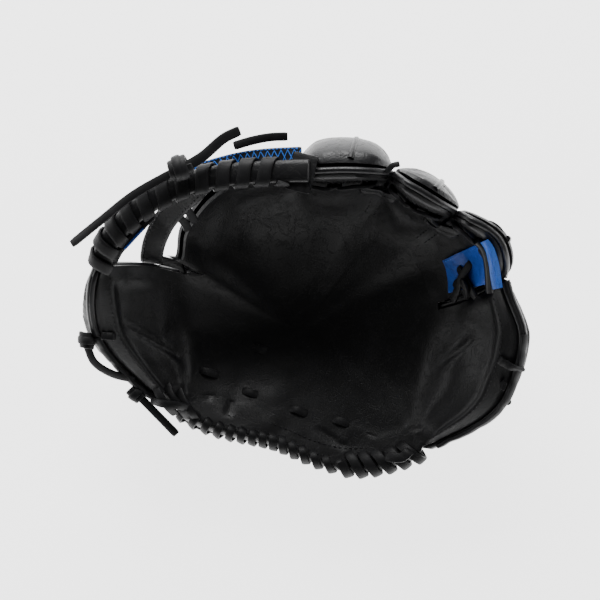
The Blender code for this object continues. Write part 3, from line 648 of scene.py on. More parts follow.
def leather_grid(columns, rows, where, keep=None, closed=False, ease=None):
    """An open sheet: a flat grid whose corners are moved to where(a, b).

    ease is the range of rows whose corners are then evened out, and how often. Its ends are
    left alone.
    """
    bm = bmesh.new()
    bmesh.ops.create_grid(bm, x_segments=len(columns) - 1, y_segments=len(rows) - 1, size=0.5)
    for vert in bm.verts:
        column = round((vert.co.x + 0.5) * (len(columns) - 1))
        row = round((vert.co.y + 0.5) * (len(rows) - 1))
        vert.co = Vector((columns[column], rows[row], 0))
    if keep:
        stray = [f for f in bm.faces if not keep(*f.calc_center_median().xy)]
        bmesh.ops.delete(bm, geom=stray, context="FACES")
    low, high, rounds = ease or (0, 0, 0)
    first, last = columns[0] + EASE_MARGIN, columns[-1] - EASE_MARGIN
    inner = [vert for vert in bm.verts
             if low < vert.co.y < high and first < vert.co.x < last and not vert.is_boundary]
    for vert in bm.verts:
        vert.co = where(vert.co.x, vert.co.y)
    for _ in range(rounds):
        bmesh.ops.smooth_vert(bm, verts=inner, factor=0.5, use_axis_x=True, use_axis_y=True,
                              use_axis_z=True)
    if closed:
        bmesh.ops.remove_doubles(bm, verts=bm.verts[:], dist=0.00002)
    return bm


def leather_sheet(name, columns, rows, where, finish, slot, keep=None, closed=False,
                  ease=None):
    """A sheet with a thickness: where(a, b, w) places its outside at w 0, its inside at w 1."""
    bm = leather_grid(columns, rows, lambda a, b: where(a, b, 0), keep, closed, ease)
    inside = leather_grid(columns, rows, lambda a, b: where(a, b, 1), keep, closed, ease)
    bmesh.ops.reverse_faces(inside, faces=inside.faces[:])
    mesh = bpy.data.meshes.new(name + "_inside")
    inside.to_mesh(mesh)
    inside.free()
    outer_rim = [edge for edge in bm.edges if edge.is_boundary]
    outer = set(bm.verts)
    bm.from_mesh(mesh)
    bpy.data.meshes.remove(mesh)
    inner_rim = [edge for edge in bm.edges if edge.is_boundary and edge.verts[0] not in outer]
    if outer_rim:
        bmesh.ops.bridge_loops(bm, edges=outer_rim + inner_rim)
    return finished(name, bm, finish, slot)


def tube_grid(points, ups, width, thickness, sides=12, square=0.55, bm=None, taper=0.0):
    """Add a flat lace with soft edges along a list of points to a bmesh."""
    whole = bm or bmesh.new()
    tube = bmesh.new()
    last = len(points) - 1
    turned = frames(points, ups)
    bmesh.ops.create_grid(tube, x_segments=last, y_segments=sides, size=0.5)
    for vert in tube.verts:
        station = round((vert.co.x + 0.5) * last)
        turn = 2 * math.pi * round((vert.co.y + 0.5) * sides) / sides
        c, s = math.cos(turn), math.sin(turn)
        side, up = turned[station]
        narrow = 1 - taper * (station in (0, last))
        across = math.copysign(abs(c) ** square, c) * width / 2 * narrow
        rise = math.copysign(abs(s) ** square, s) * thickness / 2 * narrow
        vert.co = points[station] + side * across + up * rise
    bmesh.ops.remove_doubles(tube, verts=tube.verts[:], dist=0.000005)
    ends = [edge for edge in tube.edges if edge.is_boundary]
    bmesh.ops.holes_fill(tube, edges=ends, sides=0)
    bmesh.ops.recalc_face_normals(tube, faces=tube.faces[:])
    mesh = bpy.data.meshes.new("tube")
    tube.to_mesh(mesh)
    tube.free()
    whole.from_mesh(mesh)
    bpy.data.meshes.remove(mesh)
    return whole


def lace(name, runs, width=None, thickness=None, sides=12):
    """One piece of flat lace in one or more runs of (points, ups)."""
    sizes = bpy.context.scene.glove_sizes
    bm = bmesh.new()
    for points, ups in runs:
        tube_grid(points, ups, width or sizes.lace_width, thickness or sizes.lace_thickness,
                  sides, bm=bm, taper=0.12)
    return finished(name, bm, FINISHES["lace"], "rawhide_lace", keep_direction=True)


def welt_tube(name, runs, diameter):
    """A round welt along each run of points."""
    bm = bmesh.new()
    for points in runs:
        tube_grid(points, None, diameter, diameter, 8, 1.0, bm)
    return finished(name, bm, FINISHES["welt"], "welt_leather", keep_direction=True)


def strip(name, route, width, thickness, finish, slot, sides=16, square=0.35, taper=0.0):
    """A flat strip of leather along a route."""
    bm = tube_grid(route, None, width, thickness, sides, square, taper=taper)
    return finished(name, bm, FINISHES[finish], slot, keep_direction=True)


def sewn(name, seams, finish, slot, pitch=None, width=0.0007, share=0.72):
    """Rows of raised stitches along lists of points."""
    pitch = pitch or bpy.context.scene.glove_sizes.stitch_pitch
    bm = bmesh.new()
    for seam in seams:
        reach = [0.0]
        for before, after in zip(seam, seam[1:]):
            reach.append(reach[-1] + (after - before).length)
        index, at = 0, pitch / 2
        while at < reach[-1] - pitch / 2:
            while reach[index + 1] < at:
                index += 1
            step = seam[index + 1] - seam[index]
            centre = seam[index] + step * ((at - reach[index]) / (reach[index + 1] - reach[index]))
            turn = step.to_track_quat("X", "Z").to_matrix().to_4x4()
            size = Matrix.Diagonal((pitch * share / 2, width / 2, width / 2, 1))
            bmesh.ops.create_icosphere(bm, subdivisions=1, radius=1,
                                       matrix=Matrix.Translation(centre) @ turn @ size)
            at += pitch
    return finished(name, bm, finish, slot, keep_direction=True)


PUFF_PRESSURE = 6.0        # air under the padded leather
PUFF_REACH = 0.0022        # the furthest that a corner may move from its drawn place
PUFF_STEPS = 20
GROUNDED = 0.003           # leather lower than this stays where it is drawn


def settled(bm):
    """Blow a sheet up a little with the cloth solver, its edge and its foot held."""
    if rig.quick():
        return
    mesh = bpy.data.meshes.new("settling")
    bm.to_mesh(mesh)
    piece = bpy.data.objects.new("settling", mesh)
    bpy.context.scene.collection.objects.link(piece)
    bm.verts.ensure_lookup_table()
    group = piece.vertex_groups.new(name="held")
    held = [vert.index for vert in bm.verts if vert.is_boundary or vert.co.z < GROUNDED]
    group.add(held, 1.0, "REPLACE")
    cloth = piece.modifiers.new("cloth", "CLOTH")
    cloth.settings.quality = 5
    cloth.settings.mass = 0.25
    cloth.settings.tension_stiffness = 30
    cloth.settings.compression_stiffness = 12
    cloth.settings.shear_stiffness = 12
    cloth.settings.bending_stiffness = 2.5
    cloth.settings.vertex_group_mass = "held"
    cloth.settings.use_pressure = True
    cloth.settings.uniform_pressure_force = PUFF_PRESSURE
    cloth.settings.effector_weights.gravity = 0
    cloth.settings.shrink_min = -0.02
    cloth.collision_settings.use_collision = False
    cloth.point_cache.frame_end = PUFF_STEPS
    scene = bpy.context.scene
    for step in range(1, PUFF_STEPS + 1):
        scene.frame_set(step)
    made = piece.evaluated_get(bpy.context.evaluated_depsgraph_get())
    for vert, blown in zip(bm.verts, made.data.vertices):
        move = blown.co - vert.co
        if move.length > PUFF_REACH:
            move *= PUFF_REACH / move.length
        vert.co += move
    scene.frame_set(1)
    bpy.data.objects.remove(piece)
    bpy.data.meshes.remove(mesh)


# ---------------------------------------------------------------- finishes

class Value:
    """A shader socket that takes part in sums."""

    def __init__(self, tree, socket):
        self.tree, self.socket = tree, socket

    def combined(self, operation, *values):
        node = self.tree.nodes.new("ShaderNodeMath")
        node.operation = operation
        for slot, value in zip(node.inputs, values):
            plug(self.tree, slot, value)
        return Value(self.tree, node.outputs[0])

    def __add__(self, other):
        return self.combined("ADD", self, other)

    def __sub__(self, other):
        return self.combined("SUBTRACT", self, other)

    def __rsub__(self, other):
        return self.combined("SUBTRACT", other, self)

    def __mul__(self, other):
        return self.combined("MULTIPLY", self, other)

    def __abs__(self):
        return self.combined("ABSOLUTE", self)

    def eased(self, low, high):
        """0 below low, 1 above high."""
        node = self.tree.nodes.new("ShaderNodeMapRange")
        node.interpolation_type = "SMOOTHSTEP"
        for slot, value in zip(node.inputs, (self, low, high, 0.0, 1.0)):
            plug(self.tree, slot, value)
        return Value(self.tree, node.outputs[0])


def plug(tree, slot, value):
    """Give a socket a link or a value."""
    if isinstance(value, Value):
        tree.links.new(value.socket, slot)
    elif hasattr(value, "__len__") and slot.type == "RGBA" and len(value) == 3:
        slot.default_value = (*value, 1)
    else:
        slot.default_value = value


SHADER_SOCKETS = {"base_color": "Base Color", "specular": "Specular IOR Level",
                  "sheen": "Sheen Weight", "emission": "Emission Strength"}


class Finish:
    """A material on its way: nodes are added to it and plugged into its shader."""

    def __init__(self, name, **settings):
        self.material = bpy.data.materials.new(name)
        self.material.use_nodes = True
        self.tree = self.material.node_tree
        self.shader = self.tree.nodes["Principled BSDF"]
        for key, value in settings.items():
            plug(self.tree, self.shader.inputs[SHADER_SOCKETS[key]], value)
        self.material.diffuse_color = (*settings["base_color"], 1)

    def node(self, kind, settings, sockets, output=0):
        """Add a node and return the value of one of its outputs."""
        made = self.tree.nodes.new("ShaderNode" + kind)
        for key, value in settings.items():
            setattr(made, key, value)
        for key, value in sockets.items():
            plug(self.tree, made.inputs[key], value)
        return Value(self.tree, made.outputs[output])

    def places(self, scale=(1, 1, 1)):
        """The piece's own coordinates in metres, stretched."""
        place_of = self.node("TexCoord", {}, {}, "Object")
        return self.node("Mapping", {}, {"Vector": place_of, "Scale": scale})

    def noise(self, scale, detail=2.0, rough=0.5, places=None, distortion=0.0):
        return self.node("TexNoise", {}, {"Vector": places or self.places(), "Scale": scale,
                                          "Detail": detail, "Roughness": rough,
                                          "Distortion": distortion}, "Fac")

    def cells(self, scale, feature="F1", **sockets):
        sockets = {"Vector": self.places(), "Scale": scale, **sockets}
        return self.node("TexVoronoi", {"feature": feature}, sockets, "Distance")

    def mixed(self, share, first, second):
        made = self.tree.nodes.new("ShaderNodeMix")
        made.data_type = "RGBA"
        for index, value in ((0, share), (6, first), (7, second)):
            plug(self.tree, made.inputs[index], value)
        return Value(self.tree, made.outputs[2])

    def relief(self, height, strength, distance):
        bump = self.node("Bump", {}, {"Height": height, "Strength": strength,
                                      "Distance": distance})
        plug(self.tree, self.shader.inputs["Normal"], bump)

    def set(self, name, value):
        plug(self.tree, self.shader.inputs[name], value)


def tint(colour, share):
    return tuple(min(max(value * share, 0.0), 1.0) for value in colour)


FINISHES = {}


def leather_finish(name, colour, gloss, grain, depth, rub=1.8):
    """Oiled leather: pebbled grain, fine creases with painted shade in them, and paler where it is rubbed."""
    made = Finish(name, base_color=colour, specular=0.45)
    mottle = made.noise(38, 4, 0.6)
    blotch = made.noise(9, 2, 0.5)
    pebble = made.cells(grain, "SMOOTH_F1", Smoothness=0.35)
    pore = made.noise(grain * 2.2, 2, 0.6)
    bent = made.noise(90, 3, 0.62, distortion=0.8)
    crease_and_shade = 1 - abs(bent - 0.5).eased(0.0, 0.028)
    rubbed = mottle.eased(0.52, 0.74)
    base = made.mixed(rubbed * 0.6, tint(colour, 0.75), tint(colour, rub))
    # painted shade: the colour is darkened along the fine creases
    base = made.mixed(crease_and_shade * 0.45, base, tint(colour, 0.4))
    made.set("Base Color", base)
    made.set("Roughness", (mottle - 0.5) * 0.22 + (blotch - 0.5) * 0.16 + gloss + crease_and_shade * 0.12)
    made.relief(pebble * 0.55 + pore * 0.2 - crease_and_shade * 0.45 + mottle * 0.5, 0.5, depth)
    FINISHES[name] = made.material


def lace_finish(name, colour):
    """Rawhide cut in strips: smooth, with long streaks and scuffed edges."""
    made = Finish(name, base_color=colour, specular=0.32)
    streak = made.noise(260, 3, 0.65)
    scuff = made.noise(70, 3, 0.6)
    pore = made.noise(2600, 2, 0.5)
    base = made.mixed(scuff.eased(0.5, 0.75) * 0.7, tint(colour, 0.8), tint(colour, 2.1))
    made.set("Base Color", base)
    made.set("Roughness", (scuff - 0.5) * 0.3 + 0.50 + streak * 0.1)
    made.relief(streak * 0.7 + pore * 0.25, 0.45, 0.0002)
    FINISHES[name] = made.material


def thread_finish(name, colour, gloss=0.55):
    """Waxed thread."""
    made = Finish(name, base_color=colour)
    twist = made.noise(3200, 1, 0.5)
    made.set("Base Color", made.mixed(twist, tint(colour, 0.7), tint(colour, 1.4)))
    made.set("Roughness", twist * 0.2 + gloss)
    made.relief(twist, 0.4, 0.0001)
    FINISHES[name] = made.material


def cloth_finish(name, colour, pitch=0.0011, fuzz=0.3):
    """Woven lining or felt."""
    made = Finish(name, base_color=colour, sheen=fuzz)
    warp, weft = (made.node("TexWave", {"bands_direction": way},
                            {"Vector": made.places(), "Scale": 0.31 / pitch, "Distortion": 0.6},
                            "Fac") for way in "XY")
    soil = made.noise(60, 3, 0.6)
    made.set("Base Color", made.mixed(soil, tint(colour, 0.7), tint(colour, 1.3)))
    made.set("Roughness", soil * 0.15 + 0.78)
    made.relief(warp * 0.5 + weft * 0.5 + made.noise(1800, 2, 0.6) * 0.5, 0.5, 0.0002)
    FINISHES[name] = made.material


def plate_finish(name, colour):
    """Moulded plastic stiffener."""
    made = Finish(name, base_color=colour, specular=0.5)
    flow = made.noise(55, 2, 0.5, made.places((1, 3, 1)))
    made.set("Base Color", made.mixed(flow, tint(colour, 0.92), tint(colour, 1.06)))
    made.set("Roughness", flow * 0.18 + 0.32)
    made.relief(made.noise(1400, 2, 0.5), 0.2, 0.0001)
    FINISHES[name] = made.material


def nap_finish(name, colour, hooks):
    """Hook or loop tape: rows of hooks, or a tangled nap."""
    made = Finish(name, base_color=colour, sheen=0.25)
    rows = made.cells(780)
    tangle = made.noise(900, 4, 0.7, distortion=1.4)
    height = 1 - rows if hooks else tangle
    made.set("Base Color", made.mixed(tangle, tint(colour, 0.6), tint(colour, 1.7)))
    made.set("Roughness", tangle * 0.2 + 0.72)
    made.relief(height, 0.9, 0.0006)
    FINISHES[name] = made.material


def make_finishes():
    tones = bpy.context.scene.glove_colours
    leather_finish("palm", tones.palm, 0.44, 1500, 0.00022)
    leather_finish("back", tones.back, 0.40, 900, 0.00032)
    leather_finish("welt", tones.back, 0.38, 1600, 0.00018)
    leather_finish("blue", tones.blue, 0.36, 1300, 0.0002, 1.25)
    leather_finish("bright_blue", tones.bright, 0.34, 1300, 0.0002, 1.2)
    lace_finish("lace", tones.lace)
    thread_finish("thread", tones.thread)
    thread_finish("blue_thread", tones.bright, 0.45)
    cloth_finish("lining", tones.lining)
    cloth_finish("felt", tones.felt, 0.0006, 0.5)
    plate_finish("plate", (0.55, 0.55, 0.53))
    nap_finish("hook", (0.02, 0.02, 0.022), True)
    nap_finish("loop", (0.025, 0.025, 0.028), False)


# ---------------------------------------------------------------- pieces

def line_distance(x, y, line):
    """Distance in plan from a short line, and the place along it from 0 to 1."""
    (x0, y0), (x1, y1) = line
    dx, dy = x1 - x0, y1 - y0
    along = ((x - x0) * dx + (y - y0) * dy) / (dx * dx + dy * dy)
    along = min(max(along, 0.0), 1.0)
    return math.hypot(x - x0 - dx * along, y - y0 - dy * along), along


# Pressed lines and soft creases of the palm: a line in plan, its half width and its depth
CREASES = (
    (((-0.114, -0.013), (-0.070, -0.041)), 0.0016, 0.0014),
    (((0.082, -0.048), (0.111, -0.022)), 0.0016, 0.0014),
    (((-0.0725, 0.010), (-0.068, -0.060)), 0.0070, 0.0008),
    (((0.084, -0.014), (0.067, -0.084)), 0.0070, 0.0008),
    (((0.036, -0.054), (0.048, -0.090)), 0.0022, 0.0016),
    (((0.047, -0.048), (0.060, -0.088)), 0.0022, 0.0020),
    (((0.058, -0.044), (0.074, -0.082)), 0.0022, 0.0020),
    (((-0.052, -0.036), (-0.060, -0.066)), 0.0026, 0.0011),
    (((-0.040, -0.050), (-0.047, -0.076)), 0.0024, 0.0010),
    (((0.010, -0.082), (0.030, -0.096)), 0.0024, 0.0010),
)


def wear(point):
    """How far the palm leather lies under its drawn shape: creases and an uneven hand."""
    drop = 0.0
    for line, width, depth in CREASES:
        distance, along = line_distance(point.x, point.y, line)
        fade = 4 * along * (1 - along) if 0 < along < 1 else 0.0
        drop += depth * bump(distance, 0, width) * min(fade * 2, 1)
    drop += 0.0011 * noise.noise(point * 34) + 0.0005 * noise.noise(point * 90)
    return drop


def half_slit(angle):
    """Half the width of the slit at a border, or nothing elsewhere."""
    flat = round(angle % 360, 3)
    return {LITTLE_RING[0]: LITTLE_SLIT, RING_MIDDLE[0]: SLIT, MIDDLE_INDEX[0]: SLIT}.get(flat, 0)


def palm_sheet(name, start, end, low_row=0.0, reaches=None):
    """A part of the palm leather, from the pocket's centre or the finger bases to the rim."""
    columns = []
    marks = [HEEL_START, PALM_SPLIT, HEEL_END]
    marks += [360 + mark for mark in (HEEL_LITTLE[0], LITTLE_RING[0], RING_MIDDLE[0],
                                      MIDDLE_INDEX[0], INDEX_WEB[0], WEB_THUMB, THUMB_TOP[0],
                                      THUMB_HEEL[0], HEEL_START)]
    marks += [mark + 360 for mark in marks]
    marks = [mark for mark in marks if start <= mark <= end]
    for low, high in zip(marks, marks[1:]):
        columns += [low, high]
        low += half_slit(low)
        high -= half_slit(high)
        columns += spaced(low, high, max(2, round((high - low) / 1.35) + 1))
    columns = sorted(set(round(column, 4) for column in columns))
    rows = spaced(0, 0.5, 26) + spaced(0.5, 0.97, 44)[1:] + [0.98, 0.99, 1.0]
    rows = [row for row in rows if row >= low_row]

    def keep(angle, v):
        flat = angle % 360
        if v < 0.5:
            return True
        if reaches and not reaches(flat):
            return False
        if WEB_THUMB < flat < THUMB_TOP[0]:
            return False
        if THUMB_HEEL[0] < flat < HEEL_START or HEEL_END < flat < 360 + HEEL_LITTLE[0]:
            return True
        if abs(flat - LITTLE_RING[0]) < LITTLE_SLIT * 0.99:
            return v < 0.53
        near = [abs(flat - slit) < SLIT * 0.99 for slit in (RING_MIDDLE[0], MIDDLE_INDEX[0])]
        return not any(near) or v < 0.84

    def where(angle, v, w):
        point = palm_place(angle, v, 0.0)
        drop = wear(point) * (1 - smooth(0.93, 1.0, v) * 0.7)
        return palm_place(angle, v, -drop - LEATHER * w)

    piece = leather_sheet(name, columns, rows, where, FINISHES["palm"], "palm_leather", keep,
                          closed=low_row == 0, ease=(0.12, 0.62, 14))
    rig.padded(piece, 0.55)
    return piece


class GLOVE_OT_palm(bpy.types.Operator):
    """Oiled palm leather in three pieces, bending at the thumb and little finger folds"""
    bl_idname = "glove.palm"
    bl_label = "Palm leather"

    def execute(self, context):
        thumb = palm_sheet("palm_leather_thumb_half", 360 + MIDDLE_INDEX[0], 360 + PALM_SPLIT)
        little = palm_sheet("palm_leather_little_half", PALM_SPLIT, 360 + MIDDLE_INDEX[0],
                            reaches=lambda flat: flat > PALM_SPLIT or flat < LITTLE_RING[0])
        fingers = palm_sheet("palm_leather_fingers", 360 + LITTLE_RING[0],
                             360 + MIDDLE_INDEX[0], 0.5)
        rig.replaces(thumb, "palm_leather", "thumb_palm_leather")
        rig.replaces(little, "little_palm_leather")
        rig.blend(thumb, "thumb_side", "hand", *THUMB_BEND)
        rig.blend(little, "little_side", "hand", *LITTLE_BEND)
        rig.ride(fingers, "hand")
        return {"FINISHED"}


class GLOVE_OT_back(bpy.types.Operator):
    """Back leather with the arms beside the wrist opening, its binding and the linings"""
    bl_idname = "glove.back"
    bl_label = "Back leather and linings"

    def execute(self, context):
        left, right = HEEL_START + ARM, HEEL_END - ARM
        columns = spaced(HEEL_START, 360 + HEEL_START, 253)
        rows = spaced(0, 1, 64)

        def keep(angle, v):
            flat = angle % 360
            if v < OPENING:
                return True
            if left < flat < right:
                return False
            if HEEL_START < flat < HEEL_END:
                return v < ARM_END
            return v < 0.53 or INDEX_WEB[0] < flat < WEB_THUMB

        def where(angle, v, w):
            v = arm_reach(angle, v)
            point = back_place(angle, v)
            pull = 0.0012 * (noise.noise(point * 40) + 0.4 * noise.noise(point * 110))
            return back_place(angle, v, LEATHER * w + max(pull, 0) * smooth(0.1, 0.3, v))

        piece = leather_sheet("back_leather_body", columns, rows, where, FINISHES["back"],
                              "back_leather", keep, closed=True)
        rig.replaces(piece, "back_leather")
        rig.ride(piece, "hand")
        self.edge_binding(left, right)
        self.linings(columns, rows)
        return {"FINISHED"}

    def edge_binding(self, left, right):
        """A rolled binding round the wrist opening, with its seam."""
        route, seam = [], []

        def along_arm(angle, start, end, way):
            for v in spaced(start, end, 24):
                v = arm_reach(angle, v)
                route.append(back_place(angle, v, LEATHER / 2))
                seam.append(back_place(angle + way * 2.5 / max(v, 0.3), v, -0.0002))

        along_arm(left, ARM_END, OPENING + 0.01, -1)
        for angle in spaced(left, right, 24)[1:-1]:
            route.append(back_place(angle, OPENING, LEATHER / 2))
            seam.append(back_place(angle, 0.262, -0.0002))
        along_arm(right, OPENING + 0.01, ARM_END, 1)
        binding = welt_tube("wrist_binding", [route], 0.0042)
        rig.ride(binding, "hand")
        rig.ride(sewn("wrist_binding_seam", [seam], FINISHES["thread"], "welt_leather"), "hand")

    def linings(self, columns, rows):
        def pad_depth(angle, v):
            pad = smooth(185, HEEL_START, angle % 360) * (1 - smooth(HEEL_END, 340, angle % 360))
            return UNDER_PALM + (HEEL_FELT + GAP) * pad * smooth(0.15, 0.29, v)

        def palm_keep(angle, v):
            return v < 0.42 or (v < 0.965 and HEEL_START < angle % 360 < HEEL_END)

        def palm_where(angle, v, w):
            ripple = 0.0007 * max(noise.noise(palm_place(angle, v) * 60), 0)
            return place(angle, v, -pad_depth(angle, v) - ripple - LINING * w)

        inner = leather_sheet("palm_lining_cloth", columns[::2] + columns[-1:], rows, palm_where,
                              FINISHES["lining"], "lining_leather", palm_keep, closed=True)
        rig.replaces(inner, "palm_lining")
        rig.ride(inner, "hand")

        def back_keep(angle, v):
            flat = angle % 360
            return v < 0.17 or (v < 0.42 and not HEEL_START - 20 < flat < HEEL_END + 20)

        outer = leather_sheet("back_lining_cloth", columns[::2] + columns[-1:], rows,
                              lambda a, v, w: back_place(a, v, LEATHER + GAP + 0.0012
                                                         + LINING * (1 - w)),
                              FINISHES["lining"], "lining_leather", back_keep, closed=True)
        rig.replaces(outer, "back_lining")
        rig.ride(outer, "hand")


def stall_back(name, stall, edge):
    """The padded back leather of one stall, blown up by the solver and then given its wall."""
    shape = STALLS[stall]
    across = spaced(-edge, edge, 45)
    rows = spaced(0.506, 0.97, 52) + [0.98, 0.99, 1.0]

    def knuckle(u, v):
        """Depth of the soft hollows across the finger where it bends."""
        return sum(0.0013 * bump(v, at, 0.012) * (1 - u * u) for at in (0.64, 0.79))

    def where(u, v):
        point = shape.back(u, v)
        uneven = 0.0008 * noise.noise(point * 55) + 0.0004 * noise.noise(point * 140)
        return shape.back(u, v, max(knuckle(u, v) + uneven, 0))

    bm = leather_grid(across, rows, where)
    bmesh.ops.recalc_face_normals(bm, faces=bm.faces[:])
    centre = shape.palm(0, 0.8)
    if sum(f.normal.dot(f.calc_center_median() - centre) for f in bm.faces) <= 0:
        bmesh.ops.reverse_faces(bm, faces=bm.faces[:])
    settled(bm)
    for vert in bm.verts:
        vert.co.z = max(vert.co.z, 0.0)
    bm.normal_update()
    ways = {vert: vert.normal.copy() for vert in bm.verts}
    outer = list(bm.verts)
    rim = [side for side in bm.edges if side.is_boundary]
    copied = bmesh.ops.duplicate(bm, geom=bm.faces[:])
    inner_faces = [item for item in copied["geom"] if isinstance(item, bmesh.types.BMFace)]
    twins = copied["vert_map"]
    for vert in outer:
        twins[vert].co = vert.co - ways[vert] * LEATHER
    bmesh.ops.reverse_faces(bm, faces=inner_faces)
    inner_rim = [copied["edge_map"][side] for side in rim]
    bmesh.ops.bridge_loops(bm, edges=rim + inner_rim)
    piece = finished(name, bm, FINISHES["back"], "back_leather")
    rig.padded(piece, 0.5)
    return piece


SEAM_U = -0.16             # the seam up a finger's back stands a little off its middle


def centre_welt(stall, low, high):
    """The raised seam up the middle of a finger's back."""
    shape = STALLS[stall]
    rows = spaced(low, 0.97, 40) + spaced(0.975, high, 6)
    return [shape.back(SEAM_U, v, 0.0002) for v in rows]


def side_welt(stall, edge, low, out=GAP, share=0.5):
    """The welt up one side of a stall, over its tip and down the other side."""
    shape = STALLS[stall]
    depth = -EDGE_THICKNESS * share
    sides = spaced(low, 0.965, 26)
    route = [shape.palm(-edge, v, depth) for v in sides]
    route += [shape.palm(edge * at, 1.0, depth, out) for at in spaced(-0.96, 0.96, 25)]
    route += [shape.palm(edge, v, depth) for v in reversed(sides)]
    return route


class GLOVE_OT_fingers(bpy.types.Operator):
    """Padded backs and welts of the index, middle and ring fingers"""
    bl_idname = "glove.fingers"
    bl_label = "Fingers"

    def execute(self, context):
        for stall in ("index", "middle", "ring"):
            edge = 1 - 2 * SLIT / (STALLS[stall].high[0] - STALLS[stall].low[0])
            piece = stall_back(stall + "_back_leather", stall, edge)
            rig.replaces(piece, stall + "_back")
            welts = welt_tube(stall + "_welts",
                              [side_welt(stall, edge + 0.006, 0.56, 0.0006, 0.60),
                               centre_welt(stall, 0.55, 0.996)],
                              WELT + 0.0010)
            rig.replaces(welts, stall + "_welt")
            shape = STALLS[stall]
            seams = [[shape.back(SEAM_U + side, v, -0.0002) for v in spaced(0.55, 0.97, 60)]
                     for side in (-0.13, 0.13)]
            seams += [[shape.palm(side, v, 0.0002) for v in spaced(0.60, 0.93, 60)]
                      for side in (-edge + 0.09, edge - 0.09)]
            seams.append([shape.palm(u, 0.955, 0.0002) for u in spaced(-0.75, 0.75, 50)])
            stitches = sewn(stall + "_stitches", seams, FINISHES["thread"], "back_leather")
            for made in (piece, welts, stitches):
                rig.ride(made, "hand")
        return {"FINISHED"}


class GLOVE_OT_lobes(bpy.types.Operator):
    """Padded backs, welts and stitches of the thumb and little finger"""
    bl_idname = "glove.lobes"
    bl_label = "Thumb and little finger"

    def execute(self, context):
        for stall, bend, body in (("thumb", THUMB_BEND, "thumb_side"),
                                  ("little", LITTLE_BEND, "little_side")):
            piece = stall_back(stall + "_back_pad", stall, 0.97)
            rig.replaces(piece, stall + "_back_leather")
            shape = STALLS[stall]
            welts = welt_tube(stall + "_welts",
                              [side_welt(stall, 0.985, 0.53, 0.0008),
                               side_welt(stall, 0.975, 0.53, 0.0010, 0.68),
                               centre_welt(stall, 0.54, 0.99)],
                              0.0044)
            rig.replaces(welts, stall + "_welt")
            seams = [[shape.palm(u, 0.95, 0.0002) for u in spaced(-0.88, 0.88, 130)]]
            seams += [[shape.back(SEAM_U + side, v, -0.0002) for v in spaced(0.54, 0.97, 60)]
                      for side in (-0.07, 0.07)]
            stitches = sewn(stall + "_stitches", seams, FINISHES["thread"], "back_leather")
            for made in (piece, welts, stitches):
                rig.blend(made, body, "hand", *bend)
        return {"FINISHED"}


WHIP_STEPS = 22            # places in one turn of a lace wound over the rim


def whip(start, end, turns, inner, outer, top, bottom):
    """A lace wound over the rim: places and facings from one angle to another."""
    points, ups = [], []
    mid_lift, half_lift = (top + bottom) / 2, (top - bottom) / 2
    mid_out, half_out = (outer + inner) / 2, (outer - inner) / 2
    count = round(turns * WHIP_STEPS)
    for index in range(count + 1):
        turn = 2 * math.pi * index / WHIP_STEPS
        at = blend(start, end, index / count)
        lift = mid_lift + half_lift * math.cos(turn)
        out = mid_out + half_out * math.sin(turn)
        point = place(at, 1, lift, out)
        points.append(point)
        ups.append(point - place(at, 1, mid_lift, mid_out))
    return points, ups


def facing(stops, shape, count):
    """A route and its facings from stops (a, v, lift) on a stall or on the palm."""
    route = smooth_route([Vector(stop) * 100 for stop in stops], count)
    points, ups = [], []
    for a, v, lift in (stop / 100 for stop in route):
        point = shape(a, v, lift)
        points.append(point)
        ups.append(shape(a, v, lift + 0.002) - point)
    return points, ups


def facing_one_way(stops, way, count):
    """A route that faces the same way all along."""
    return smooth_route(stops, count), [Vector(way)] * count


def knot(centre, along, up, size, turns):
    """A short lace wound tightly round itself."""
    along, up = Vector(along).normalized(), Vector(up).normalized()
    side = along.cross(up)
    points, ups = [], []
    for share in spaced(0, 1, 40):
        turn = 2 * math.pi * turns * share
        spread = size * (0.62 - 0.12 * math.cos(2 * math.pi * share))
        way = side * math.cos(turn) + up * math.sin(turn) * 0.8
        points.append(Vector(centre) + along * (share - 0.5) * size * 1.15 + way * spread)
        ups.append(way)
    return points, ups


def length_of(points):
    """Length of a route."""
    return sum((b - a).length for a, b in zip(points, points[1:]))


def free_end(name, stops, node, width=0.0052):
    """A cut end of lace that stands free, turning a little along its length."""
    points = smooth_route(stops, 24)
    ahead = (points[-1] - points[0]).normalized()
    side = ahead.cross(Vector((0, 0, 1))).normalized()
    ups = []
    for share in spaced(0, 1, 24):
        turn = 0.12 * math.pi * share
        ups.append(side * math.sin(turn) + side.cross(ahead) * math.cos(turn))
    piece = lace(name, [(points, ups)], width=width)
    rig.replaces(piece, node)
    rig.cord(piece, exit=tuple(points[0]), length=length_of(points), diameter=width,
            far_end="bare", stiffness="stiff", lay="loose",
            path=[tuple(point) for point in points])
    return piece


BAR_ROUTE = ((-0.1235, 0.0195, 0.104), (-0.1165, 0.0370, 0.117), (-0.0965, 0.0565, 0.128),
             (-0.0700, 0.0700, 0.134), (-0.0400, 0.0760, 0.138), (-0.0090, 0.0775, 0.1425),
             (0.0060, 0.0775, 0.1460))
POST_ROUTE = ((-0.0620, 0.0690, 0.1290), (-0.0742, 0.0592, 0.1150), (-0.0840, 0.0490, 0.1030),
              (-0.0905, 0.0375, 0.0920), (-0.0935, 0.0285, 0.0790), (-0.0940, 0.0245, 0.0700))
MESH_ROUTE = ((-0.066, 0.0765, 0.1225), (-0.040, 0.0832, 0.1300), (-0.022, 0.0858, 0.1335),
              (0.001, 0.0868, 0.1380))
LEFT_TAIL = ((-0.0765, 0.0765, 0.148), (-0.100, 0.0635, 0.144), (-0.121, 0.0475, 0.1385),
             (-0.1385, 0.034, 0.132))
RIGHT_TAIL = ((-0.0690, 0.0795, 0.1485), (-0.058, 0.0865, 0.148), (-0.046, 0.097, 0.146),
              (-0.0365, 0.102, 0.143))
